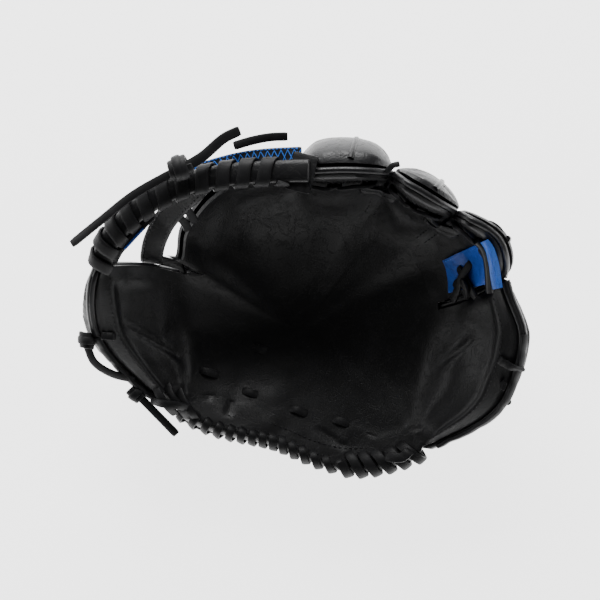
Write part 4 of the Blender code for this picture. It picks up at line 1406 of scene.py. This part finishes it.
MESH_TAIL = ((-0.040, 0.0935, 0.1335), (-0.029, 0.0965, 0.136), (-0.018, 0.0985, 0.137),
             (-0.0075, 0.0990, 0.1365))
THUMB_TAIL = ((-0.103, -0.0615, 0.057), (-0.0970, -0.068, 0.054), (-0.0890, -0.0765, 0.051),
              (-0.0795, -0.0865, 0.049))


BASE_LACES = (((-0.0700, 0.0440, 0.0920), (-0.0712, 0.0470, 0.0985), (-0.0735, 0.0500, 0.1050),
               (-0.0765, 0.0520, 0.1080)),
              ((-0.0655, 0.0490, 0.0960), (-0.0675, 0.0525, 0.1040), (-0.0700, 0.0560, 0.1120),
               (-0.0730, 0.0575, 0.1150)))
BAR_STEPS = 240
WRAP_STEPS = 24            # places in one turn of the lace round the bar
LATTICE = 17               # crosses of thread along the strip behind the bar


def read_along(points, at):
    """The step of a route at a place given in steps, and that place."""
    low = min(int(at), len(points) - 2)
    return low, points[low].lerp(points[low + 1], at - low)


def side_seams(route, turned, half, lift):
    """Two seams along a strip, half apart from its middle and lift over it."""
    return [[point + side * share + up * lift for point, (side, up) in zip(route, turned)]
            for share in (-half, half)]


class GLOVE_OT_cords(bpy.types.Operator):
    """Cut lace ends that stand free of the web and the thumb"""
    bl_idname = "glove.cords"
    bl_label = "Lace ends"

    def execute(self, context):
        for side, stops, width in (("left", LEFT_TAIL, 0.0052), ("right", RIGHT_TAIL, 0.0064),
                                   ("mesh", MESH_TAIL, 0.0054)):
            tail = free_end("web_lace_tail_" + side, stops, "web_lace_end_" + side, width)
            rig.blend(tail, "thumb_side", "hand", *THUMB_BEND)
        tail = free_end("thumb_lace_tail", THUMB_TAIL, "thumb_lace_end")
        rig.ride(tail, "thumb_side")
        return {"FINISHED"}


class GLOVE_OT_heel(bpy.types.Operator):
    """Edge band of the heel and the lace that whips over it"""
    bl_idname = "glove.heel"
    bl_label = "Heel edge"

    def execute(self, context):
        half = (HEEL_THICKNESS + 0.0006) / 2

        def where(angle, b, w):
            turn = math.pi * b
            reach = GAP + LEATHER * (1 - w)
            lift = (half + 0.0008 * (1 - w)) * math.cos(turn) - half
            return place(angle, 1, lift, (reach + 0.0012) * math.sin(turn) - 0.0012)

        band = leather_sheet("heel_edge_band", spaced(HEEL_START, HEEL_END, 121),
                             spaced(0, 1, 11), where, FINISHES["welt"], "welt_leather")
        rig.replaces(band, "heel_band")
        turns = context.scene.glove_sizes.heel_turns
        bottom = -HEEL_THICKNESS - 0.0024
        fine = whip(HEEL_START + 1.5, 287, turns * 0.74, -0.0060, 0.0046, 0.0013, bottom)
        bold = whip(287.5, HEEL_END - 0.5, turns * 0.29, -0.0125, 0.0052, 0.0026, bottom - 0.0005)
        second = facing([(303, 0.88, -0.003), (305, 0.92, 0.0030), (309, 0.975, 0.0042),
                         (312, 0.94, 0.0038), (314, 0.90, -0.003)], palm_place, 40)
        whipped = lace("heel_whip_lace", [fine], width=0.0050,
                       thickness=0.0020)
        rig.replaces(whipped, "heel_lace")
        crossing = lace("heel_corner_laces", [bold, second], width=0.0064)
        seam = [palm_place(angle, 0.925, 0.0001) for angle in spaced(HEEL_START + 1, 285, 160)]
        seam_in = [palm_place(angle, 0.80, 0.0001) for angle in spaced(HEEL_START + 4, 311, 160)]
        stitches = sewn("heel_stitches", [seam, seam_in], FINISHES["thread"], "palm_leather")
        for piece in (band, whipped, crossing, stitches):
            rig.ride(piece, "hand")
        return {"FINISHED"}


class GLOVE_OT_web(bpy.types.Operator):
    """Top bar with its wound lace, the post, the stitched strip behind and the knots"""
    bl_idname = "glove.web"
    bl_label = "Web"

    def execute(self, context):
        core = smooth_route(BAR_ROUTE, BAR_STEPS + 1)
        turned = frames(core)
        bar = self.leather_bar(core)
        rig.replaces(bar, "web_top_bar")
        points, ups = [], []
        count = context.scene.glove_sizes.wrap_turns * WRAP_STEPS
        for index in range(count + 1):
            low, middle = read_along(core, blend(0.02, 0.90, index / count) * BAR_STEPS)
            side, up = turned[low]
            turn = 2 * math.pi * index / WRAP_STEPS + 0.6
            c, s = math.cos(turn), math.sin(turn)
            reach = (side * math.copysign(abs(c) ** 0.8, c) * 0.0080
                     + up * math.copysign(abs(s) ** 0.8, s) * 0.0045)
            points.append(middle + reach)
            ups.append(side * c * 0.6 + up * s)
        wound = lace("web_bar_wrap", [(points, ups)], width=0.0084, thickness=0.0022, sides=14)
        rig.replaces(wound, "web_wrap_lace")
        post = self.post()
        mesh_strip, cross, edge = self.stitched_strip()
        centre = Vector((-0.0720, 0.0793, 0.1487))
        along = Vector(RIGHT_TAIL[0]) - Vector(LEFT_TAIL[0])
        knots = lace("web_lace_knot", [knot(centre, along, (0, 0, 1), 0.0088, 3.25)],
                     width=0.0056, thickness=0.0034)
        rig.replaces(knots, "web_knot")
        ties = lace("web_base_laces", [facing_one_way(stops, (0.25, -0.5, 0.8), 22)
                                       for stops in BASE_LACES])
        blue = self.blue_facing(core, turned)
        for piece in (bar, wound, post, mesh_strip, cross, edge, knots, ties, blue):
            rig.blend(piece, "thumb_side", "hand", *THUMB_BEND)
        return {"FINISHED"}

    def leather_bar(self, core):
        """The bar: a padded strip with a rounded, slightly flared plain end."""
        bm = tube_grid(core, None, 0.0138, 0.0066, 16, 0.6, taper=0.25)
        end = [Vector((x, 0.0785 - (x + 0.006) * 0.25, 0.1420 + x * 0.22))
               for x in (-0.006, -0.001, 0.004, 0.0085)]
        tube_grid(smooth_route(end, 14), None, 0.0235, 0.0026, 16, 0.3, bm, 0.04)
        return finished("web_bar_leather", bm, FINISHES["palm"], "palm_leather",
                        keep_direction=True)

    def post(self):
        """The post between the bar and the web's foot, with its two seams."""
        route = smooth_route(POST_ROUTE, 40)
        seams = side_seams(route, frames(route), 0.0052, 0.0019)
        piece = strip("web_post_leather", route, 0.0145, 0.0036, "palm", "palm_leather",
                      taper=0.1)
        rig.replaces(piece, "web_post")
        stitches = sewn("web_post_stitches", seams, FINISHES["thread"], "rawhide_lace")
        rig.blend(stitches, "thumb_side", "hand", *THUMB_BEND)
        return piece

    def stitched_strip(self):
        """The strip behind the bar, covered with a lattice of blue thread."""
        route = smooth_route(MESH_ROUTE, 60)
        piece = strip("web_strip_leather", route, 0.0120, 0.0026, "back", "blue_leather",
                      taper=0.05)
        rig.replaces(piece, "web_mesh_strip")
        turned = frames(route)
        cross = bmesh.new()
        for start in range(LATTICE):
            for way in (1, -1):
                line = []
                for share in spaced(0, 1, 7):
                    at = min((start + share) / LATTICE, 1) * (len(route) - 1)
                    low, middle = read_along(route, at)
                    side, up = turned[low]
                    line.append(middle + side * way * (share - 0.5) * 0.0086 + up * 0.0015)
                tube_grid(line, None, 0.0005, 0.0004, 6, 1.0, cross)
        lattice = finished("web_strip_lattice", cross, FINISHES["blue_thread"], "blue_leather",
                           keep_direction=True)
        edges = side_seams(route, turned, 0.0051, 0.0014)
        end_row = [route[-3] + turned[-3][0] * share + turned[-3][1] * 0.0019
                   for share in spaced(-0.006, 0.006, 12)]
        edge = sewn("web_strip_stitches", edges + [end_row], FINISHES["blue_thread"],
                    "blue_leather", pitch=0.0024, width=0.0008, share=0.8)
        return piece, lattice, edge

    def blue_facing(self, core, turned):
        """Leather facing under the bar beside the thumb, with its blue edge."""
        def offset(low, high, across, drop):
            route = []
            for share in spaced(low, high, 30):
                index = round(share * BAR_STEPS)
                side, up = turned[index]
                reach = across * math.sin(math.pi * min(max((share + 0.10) / 0.62, 0), 1))
                route.append(core[index] + side * reach - up * drop)
            return route

        dark = strip("web_bar_facing", offset(0.02, 0.34, 0.0078, 0.0045), 0.0078, 0.0024,
                     "palm", "palm_leather", 12, 0.4, 0.2)
        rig.blend(dark, "thumb_side", "hand", *THUMB_BEND)
        return strip("web_blue_facing", offset(0.10, 0.27, 0.0108, 0.0036), 0.0015, 0.0015,
                     "blue", "blue_leather", 12, 0.4, 0.2)


TIES = ((-0.058, -0.047), (-0.032, -0.060), (-0.001, -0.0715), (0.0265, -0.0785),
        (-0.0265, -0.0315))
TIP_STUBS = (((0.052, 0.077, 0.1400), (0.056, 0.081, 0.1425), (0.060, 0.0820, 0.1425)),
             ((0.1120, 0.0470, 0.1290), (0.1165, 0.0462, 0.1300), (0.1215, 0.0425, 0.1290),
              (0.1235, 0.0375, 0.1265)))
THUMB_BOW = ((-0.1345, -0.0285, 0.0790), (-0.1300, -0.0395, 0.0740),
             (-0.1190, -0.0470, 0.0680), (-0.1060, -0.0505, 0.0620))
HEEL_JOIN = (((-0.0935, -0.0520, 0.0580), (-0.0900, -0.0600, 0.0620),
              (-0.0845, -0.0680, 0.0610), (-0.0800, -0.0730, 0.0540)),
             ((-0.0850, -0.0540, 0.0570), (-0.0815, -0.0620, 0.0600),
              (-0.0755, -0.0700, 0.0590), (-0.0715, -0.0755, 0.0520)),
             ((-0.0775, -0.0575, 0.0550), (-0.0740, -0.0650, 0.0580),
              (-0.0690, -0.0725, 0.0570), (-0.0655, -0.0780, 0.0500)),
             ((-0.0950, -0.0640, 0.0560), (-0.0880, -0.0660, 0.0640),
              (-0.0790, -0.0670, 0.0640), (-0.0720, -0.0690, 0.0580)))
EDGE_DEPTH = -EDGE_THICKNESS * 0.42   # height of the edge lacing under the palm leather


class GLOVE_OT_laces(bpy.types.Operator):
    """Ties in the palm, laces across and between the fingertips, lacing of the outer edges"""
    bl_idname = "glove.laces"
    bl_label = "Laces"

    def execute(self, context):
        self.palm_ties()
        self.finger_laces()
        self.edge_laces()
        return {"FINISHED"}

    def palm_ties(self):
        """Short ties that show in the pocket and dip through it at both ends."""
        for number, (x, y) in enumerate(TIES, 1):
            points, ups = [], []
            for share in spaced(-1, 1, 21):
                rise = 0.0011 - 0.0045 * abs(share) ** 2.2
                at = share * 0.0068
                point = over_palm(x + at, y - at / 3, rise)
                points.append(point)
                ups.append(over_palm(x + at, y - at / 3, rise + 0.002) - point)
            piece = lace(f"palm_tie_{number}", [(points, ups)])
            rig.replaces(piece, f"palm_tie_lace_{number}")
            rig.ride(piece, "hand")

    def finger_laces(self):
        """Each tip has a lace through two holes; loops join a tip to the next."""
        runs = []
        for stall, v in (("index", 0.925), ("middle", 0.925), ("ring", 0.93)):
            shape = STALLS[stall]
            for low, high, row in ((-0.74, -0.06, v), (0.10, 0.76, v + 0.004)):
                stops = [(low - 0.02, row - 0.012, -0.0035), (low, row, 0.0022),
                         ((low + high) / 2, row + 0.014, 0.0030), (high, row, 0.0022),
                         (high + 0.02, row - 0.012, -0.0035)]
                runs.append(facing(stops, shape.palm, 30))
        piece = lace("fingertip_laces", runs)
        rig.ride(piece, "hand")
        for node, right, left in (("index_middle_lace", "middle", "index"),
                                  ("middle_ring_lace", "ring", "middle")):
            loops = []
            for v, reach in ((0.90, 0.0060), (0.80, 0.0045)):
                stops = [STALLS[right].palm(0.50, v - 0.01, -0.004),
                         STALLS[right].palm(0.60, v, 0.0025),
                         STALLS[right].palm(0.93, v + 0.006, reach),
                         STALLS[left].palm(-0.93, v + 0.006, reach),
                         STALLS[left].palm(-0.60, v, 0.0025),
                         STALLS[left].palm(-0.50, v - 0.01, -0.004)]
                points = smooth_route(stops, 44)
                way = Vector((0, CENTRE_Y, 0.16)) - points[22]
                loops.append((points, [way] * 44))
            loop = lace(node + "_loops", loops)
            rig.replaces(loop, node)
            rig.ride(loop, "hand")
        stubs = [facing_one_way(stops, (0.1, 0.2, 1), 18) for stops in TIP_STUBS]
        piece = lace("fingertip_lace_stubs", stubs, width=0.0036,
                     thickness=0.0020)
        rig.ride(piece, "hand")

    def edge_run(self, shape, start, end):
        """A lace that lies along the groove outside the welt, dipping at each hole."""
        points, ups = [], []
        for share in spaced(0, 1, 150):
            u = blend(start, end, share)
            dip = 0.0006 * math.sin(share * math.pi * 5) ** 6
            point = shape.palm(u, 1.0, EDGE_DEPTH, 0.0036 - dip)
            points.append(point)
            ups.append(shape.palm(u, 1.0, EDGE_DEPTH, 0.0076) - point)
        return points, ups

    def edge_laces(self):
        """Lacing over the outer edges, with a knot at the thumb and short ends."""
        thumb, little = STALLS["thumb"], STALLS["little"]
        run = self.edge_run(thumb, -0.16, 0.90)
        stub = facing([(-0.16, 0.97, 0.0005), (-0.18, 0.995, 0.0036), (-0.20, 1.02, 0.0010)],
                      thumb.palm, 12)
        knots = [knot(Vector((-0.1345, -0.0255, 0.0800)), (0.15, -0.95, -0.2), (-0.6, 0, 0.8),
                      0.0066, 2.75),
                 knot(Vector((-0.1045, -0.0600, 0.0570)), (0.75, -0.6, -0.2), (0, 0, 1),
                      0.0064, 2.75)]
        bow = facing_one_way(THUMB_BOW, (-0.3, -0.3, 0.9), 30)
        piece = lace("thumb_edge_lacing", [run, stub, bow] + knots, width=0.0050)
        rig.replaces(piece, "thumb_edge_lace")
        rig.ride(piece, "thumb_side")
        run = self.edge_run(little, -0.90, 0.46)
        crossing = facing([(0.22, 0.955, -0.003), (0.21, 0.975, 0.0030), (0.18, 1.0, 0.0050),
                           (0.15, 1.03, 0.0020), (0.14, 1.035, -0.0060)], little.palm, 24)
        stub = facing([(0.00, 1.000, 0.0030), (-0.03, 1.03, 0.0050), (-0.05, 1.070, 0.0070)],
                      little.palm, 14)
        piece = lace("little_edge_lacing", [run, crossing, stub], width=0.0050)
        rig.replaces(piece, "little_edge_lace")
        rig.ride(piece, "little_side")
        join = [facing_one_way(stops, (-0.2, -0.2, 1), 24) for stops in HEEL_JOIN]
        piece = lace("thumb_heel_joining_laces", join, width=0.0052)
        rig.blend(piece, "thumb_side", "hand", *THUMB_BEND)


# The crossed lace of the tab: angle, share and lift of its stops
TAB_LACE = (((22.5, 0.70, 0.001), (21.5, 0.71, 0.0045), (18.0, 0.76, 0.0058),
             (14.0, 0.82, 0.0050), (11.0, 0.86, 0.0040)),
            ((22.5, 0.80, 0.001), (21.5, 0.79, 0.0048), (18.0, 0.75, 0.0086),
             (14.5, 0.70, 0.0052), (11.5, 0.66, 0.0040)),
            ((16.0, 0.67, 0.0030), (17.5, 0.72, 0.0066), (17.0, 0.78, 0.0092),
             (14.5, 0.80, 0.0080), (12.0, 0.77, 0.0050)))
TAB_LEATHER = 0.0020
TAB_BEND = ((0.138, -0.006, 0.110), (0.112, 0.012, 0.100))


class GLOVE_OT_tab(bpy.types.Operator):
    """Blue tab over the ring and little fingertips, with its welt, bright strip and lace"""
    bl_idname = "glove.tab"
    bl_label = "Blue tab"

    def execute(self, context):
        def over(angle, v, lift):
            """A place over the ring and little fingertips."""
            crown = FINGER_CROWN * smooth(0.5, 0.7, v) * nose_share(v)
            crown += STALLS["ring"].lip * bump(v, *LIP)
            return place(angle, v, crown + lift)

        def sheet_of(name, low, high, foot, head, lift, finish, slot):
            def where(a, v, w):
                edge = 4 * (a - low) * (high - a) / (high - low) ** 2
                uneven = 0.0004 * noise.noise(Vector((a, v * 40, 0)) * 0.3)
                puff = 0.0010 * math.sqrt(max(edge, 0)) + uneven
                return over(a, v, lift + puff * (1 - w) + TAB_LEATHER * (1 - w))
            return leather_sheet(name, spaced(low, high, 30), spaced(foot, head, 40), where,
                                 FINISHES[finish], slot)

        panel = sheet_of("tab_panel", 14.5, 26.5, 0.62, 0.955, 0.0008, "blue", "blue_leather")
        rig.replaces(panel, "finger_tab")
        bright = sheet_of("tab_bright_strip", 12.5, 26.5, 0.968, 1.025, 0.0010, "bright_blue",
                          "blue_leather")
        band = welt_tube("tab_welt", [[over(a, 0.962, 0.0026) for a in spaced(12.0, 27.5, 40)]],
                         0.0052)
        seams = [[over(a, 0.945, 0.0034) for a in spaced(15.5, 26, 50)],
                 [over(a, 0.975, 0.0036) for a in spaced(13.0, 26.0, 60)],
                 [over(25.7, v, 0.0030) for v in spaced(0.63, 0.95, 60)],
                 [over(15.3, v, 0.0030) for v in spaced(0.63, 0.95, 60)]]
        stitches = sewn("tab_stitches", seams, FINISHES["blue_thread"], "blue_leather",
                        pitch=0.0026)
        crossing = lace("tab_crossing_lace", [facing(stops, over, 34) for stops in TAB_LACE])
        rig.replaces(crossing, "tab_lace")
        for piece in (panel, bright, band, stitches, crossing):
            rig.blend(piece, "little_side", "hand", *TAB_BEND)
        return {"FINISHED"}


class GLOVE_OT_strap(bpy.types.Operator):
    """Wrist strap with its binding, seams and hook and loop patches"""
    bl_idname = "glove.strap"
    bl_label = "Wrist strap"

    def execute(self, context):
        free = STRAP_HINGE_X - STRAP_REACH
        top = STRAP_LIFT + STRAP_THICKNESS

        def rounded(a, b):
            """The share b of the strap's half width, narrowing round its free end."""
            nose = min(max((free + STRAP_NOSE - a) / STRAP_NOSE, 0), 1)
            return b * STRAP_WIDTH / 2 * (1 - 0.32 * nose ** 2)

        def edge(a, b, out=0.0):
            return Vector((a + out, STRAP_Y + rounded(a, b), top))

        def where(a, b, w):
            crown = 0.0003 * (1 - b * b)
            low = STRAP_LIFT if w else top + crown - 0.0003
            return Vector((a, STRAP_Y + rounded(a, b), low))

        strap = leather_sheet("wrist_strap_leather", spaced(free, STRAP_HINGE_X, 90),
                              spaced(-1, 1, 26), where, FINISHES["back"], "back_leather")
        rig.replaces(strap, "wrist_strap")
        rim = [edge(a, -0.93) for a in spaced(STRAP_HINGE_X, free, 60)]
        rim += [edge(free, b, 0.001) for b in spaced(-0.8, 0.8, 12)]
        rim += [edge(a, 0.93) for a in spaced(free, STRAP_HINGE_X, 60)]
        seam = [Vector((p.x, blend(p.y, STRAP_Y, 0.14), top + 0.0001)) for p in rim[4:-4]]
        binding = welt_tube("wrist_strap_binding", [rim], 0.0016)
        stitches = sewn("wrist_strap_stitches", [seam], FINISHES["thread"], "back_leather")
        for piece in (strap, binding, stitches):
            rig.ride(piece, "wrist_strap")
        width = STRAP_WIDTH - 4 * LEATHER
        hook = self.patch("hook_tape", free + LEATHER, width, top + GAP, "hook")
        loop = self.patch("loop_tape", free + LEATHER, width, top + PATCH + 2 * GAP, "loop")
        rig.replaces(hook, "strap_hook_patch")
        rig.replaces(loop, "strap_loop_patch")
        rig.ride(hook, "wrist_strap")
        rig.ride(loop, "hand")
        return {"FINISHED"}

    def patch(self, name, x_low, width, z_low, finish):
        """A patch of tape with soft corners."""
        bm = bmesh.new()
        size = Matrix.Diagonal((PATCH_LENGTH, width, PATCH, 1))
        centre = Vector((x_low + PATCH_LENGTH / 2, STRAP_Y, z_low + PATCH / 2))
        bmesh.ops.create_cube(bm, size=1, matrix=Matrix.Translation(centre) @ size)
        upright = [e for e in bm.edges if abs(e.verts[0].co.z - e.verts[1].co.z) > PATCH / 2]
        bmesh.ops.bevel(bm, geom=upright, offset=0.003, segments=5, profile=0.5,
                        affect="EDGES", material=-1)
        flat_edges = [e for e in bm.edges if abs(e.verts[0].co.z - e.verts[1].co.z) < PATCH / 4]
        bmesh.ops.bevel(bm, geom=flat_edges, offset=0.0003, segments=2, profile=0.5,
                        affect="EDGES", material=-1)
        return finished(name, bm, FINISHES[finish], "hook_and_loop")


class GLOVE_OT_sleeves(bpy.types.Operator):
    """Cloth sleeves that line the five stalls, open at both ends"""
    bl_idname = "glove.sleeves"
    bl_label = "Stall linings"

    def execute(self, context):
        fingers = [(stall, FINGER_FELT, 0.0, "hand") for stall in ("index", "middle", "ring")]
        lobes = [("thumb", LOBE_FELT, PLATE, "thumb_side"),
                 ("little", LOBE_FELT, PLATE, "little_side")]
        for stall, felt, plate, body in fingers + lobes:
            shape = STALLS[stall]

            def where(turn, v, w):
                c, s = math.cos(math.radians(turn)), math.sin(math.radians(turn))
                u = (SLEEVE_SIDE - 0.05 * w) * c
                ripple = 0.0005 * noise.noise(Vector((turn * 0.1, v * 30, 0)))
                top = shape.palm(u, v, -(UNDER_PALM + felt + 0.0012) - LINING * w + ripple)
                low = shape.back(u, v, LEATHER + plate + 0.0012 + LINING * w + ripple)
                return low.lerp(top, (s + 1) / 2)

            sleeve = leather_sheet(stall + "_sleeve", spaced(0, 360, 49), spaced(0.58, 0.84, 24),
                                   where, FINISHES["lining"], "lining_leather", closed=True)
            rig.replaces(sleeve, stall + "_lining")
            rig.ride(sleeve, body)
        return {"FINISHED"}


HIDDEN = {"thumb_stiffener": "plate", "little_stiffener": "plate"}
HIDDEN.update((part + "_felt", "felt")
              for part in ("heel", "index", "middle", "ring", "thumb", "little"))


class GLOVE_OT_inside(bpy.types.Operator):
    """Finish of the felts and stiffeners inside the glove"""
    bl_idname = "glove.inside"
    bl_label = "Inside pieces"

    def execute(self, context):
        for node, finish in HIDDEN.items():
            for slot in frame["nodes"][node].material_slots:
                slot.material = FINISHES[finish]
        return {"FINISHED"}


class GLOVE_OT_stage(bpy.types.Operator):
    """Pale floor, soft studio light and the camera over the glove"""
    bl_idname = "glove.stage"
    bl_label = "Stage"

    def execute(self, context):
        scene = context.scene
        camera = bpy.data.cameras.new("camera")
        camera.lens = 135.2
        camera.sensor_width = 36
        holder = bpy.data.objects.new("camera", camera)
        holder.location = (0, 0, 1.5)
        scene.collection.objects.link(holder)
        scene.camera = holder
        self.floor(scene)
        world = bpy.data.worlds.new("studio")
        world.use_nodes = True
        world.node_tree.nodes["Background"].inputs["Color"].default_value = (1, 1, 1, 1)
        world.node_tree.nodes["Background"].inputs["Strength"].default_value = 0.05
        scene.world = world
        for name, at, size, power, aim in (
                ("window", (-0.15, 1.30, 0.80), 0.9, 30, (0, 0.02, 0.08)),
                ("side_left", (-1.30, 0.25, 0.40), 0.8, 6, (0, 0, 0.08)),
                ("side_right", (1.30, 0.15, 0.45), 0.8, 4.5, (0, 0, 0.08)),
                ("front", (0.10, -1.30, 0.55), 0.9, 3, (0, 0, 0.08))):
            self.lamp(scene, name, at, size, power, aim)
        return {"FINISHED"}

    def floor(self, scene):
        """The pale ground that the glove lies on."""
        bm = bmesh.new()
        bmesh.ops.create_grid(bm, x_segments=1, y_segments=1, size=4.0)
        mesh = bpy.data.meshes.new("floor")
        bm.to_mesh(mesh)
        bm.free()
        made = Finish("floor", base_color=(0.86, 0.86, 0.86), emission=2.9)
        plug(made.tree, made.shader.inputs["Emission Color"], (1, 1, 1))
        made.set("Roughness", made.noise(3, 1, 0.5) * 0.05 + 0.85)
        mesh.materials.append(made.material)
        ground = bpy.data.objects.new("floor", mesh)
        scene.collection.objects.link(ground)
        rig.stage(ground)

    def lamp(self, scene, name, at, size, power, aim):
        """A square soft light that is aimed at a place."""
        light = bpy.data.lights.new(name, "AREA")
        light.size = size
        light.energy = power
        lamp = bpy.data.objects.new(name, light)
        lamp.location = at
        lamp.rotation_mode = "QUATERNION"
        lamp.rotation_quaternion = (Vector(aim) - Vector(at)).to_track_quat("-Z", "Y")
        scene.collection.objects.link(lamp)


OPERATORS = (GLOVE_OT_stage, GLOVE_OT_cords, GLOVE_OT_palm, GLOVE_OT_back, GLOVE_OT_fingers,
             GLOVE_OT_lobes, GLOVE_OT_heel, GLOVE_OT_web, GLOVE_OT_laces, GLOVE_OT_tab,
             GLOVE_OT_strap, GLOVE_OT_sleeves, GLOVE_OT_inside)


class GLOVE_PT_panel(bpy.types.Panel):
    """Sizes, colours and pieces of the glove"""
    bl_idname = "GLOVE_PT_panel"
    bl_label = "Catch glove"
    bl_space_type = "VIEW_3D"
    bl_region_type = "UI"
    bl_category = "Glove"

    def draw(self, context):
        for group in (context.scene.glove_sizes, context.scene.glove_colours):
            column = self.layout.column()
            for name in group.bl_rna.properties.keys():
                if name not in ("rna_type", "name"):
                    column.prop(group, name)
        for operator in OPERATORS:
            self.layout.operator(operator.bl_idname)


CLASSES = (Sizes, Colours) + OPERATORS + (GLOVE_PT_panel,)


def register():
    for made in CLASSES:
        bpy.utils.register_class(made)
    bpy.types.Scene.glove_sizes = PointerProperty(type=Sizes)
    bpy.types.Scene.glove_colours = PointerProperty(type=Colours)


def unregister():
    del bpy.types.Scene.glove_sizes
    del bpy.types.Scene.glove_colours
    for made in reversed(CLASSES):
        bpy.utils.unregister_class(made)


def main():
    register()
    make_finishes()
    for operator in OPERATORS:
        group, name = operator.bl_idname.split(".")
        getattr(getattr(bpy.ops, group), name)()
    shown = [list(corner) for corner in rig.bounds()]
    with open("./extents.json", "w") as kept:
        json.dump({"cad": CAD_BOX, "visual": shown}, kept)


if __name__ == "__main__":
    main()
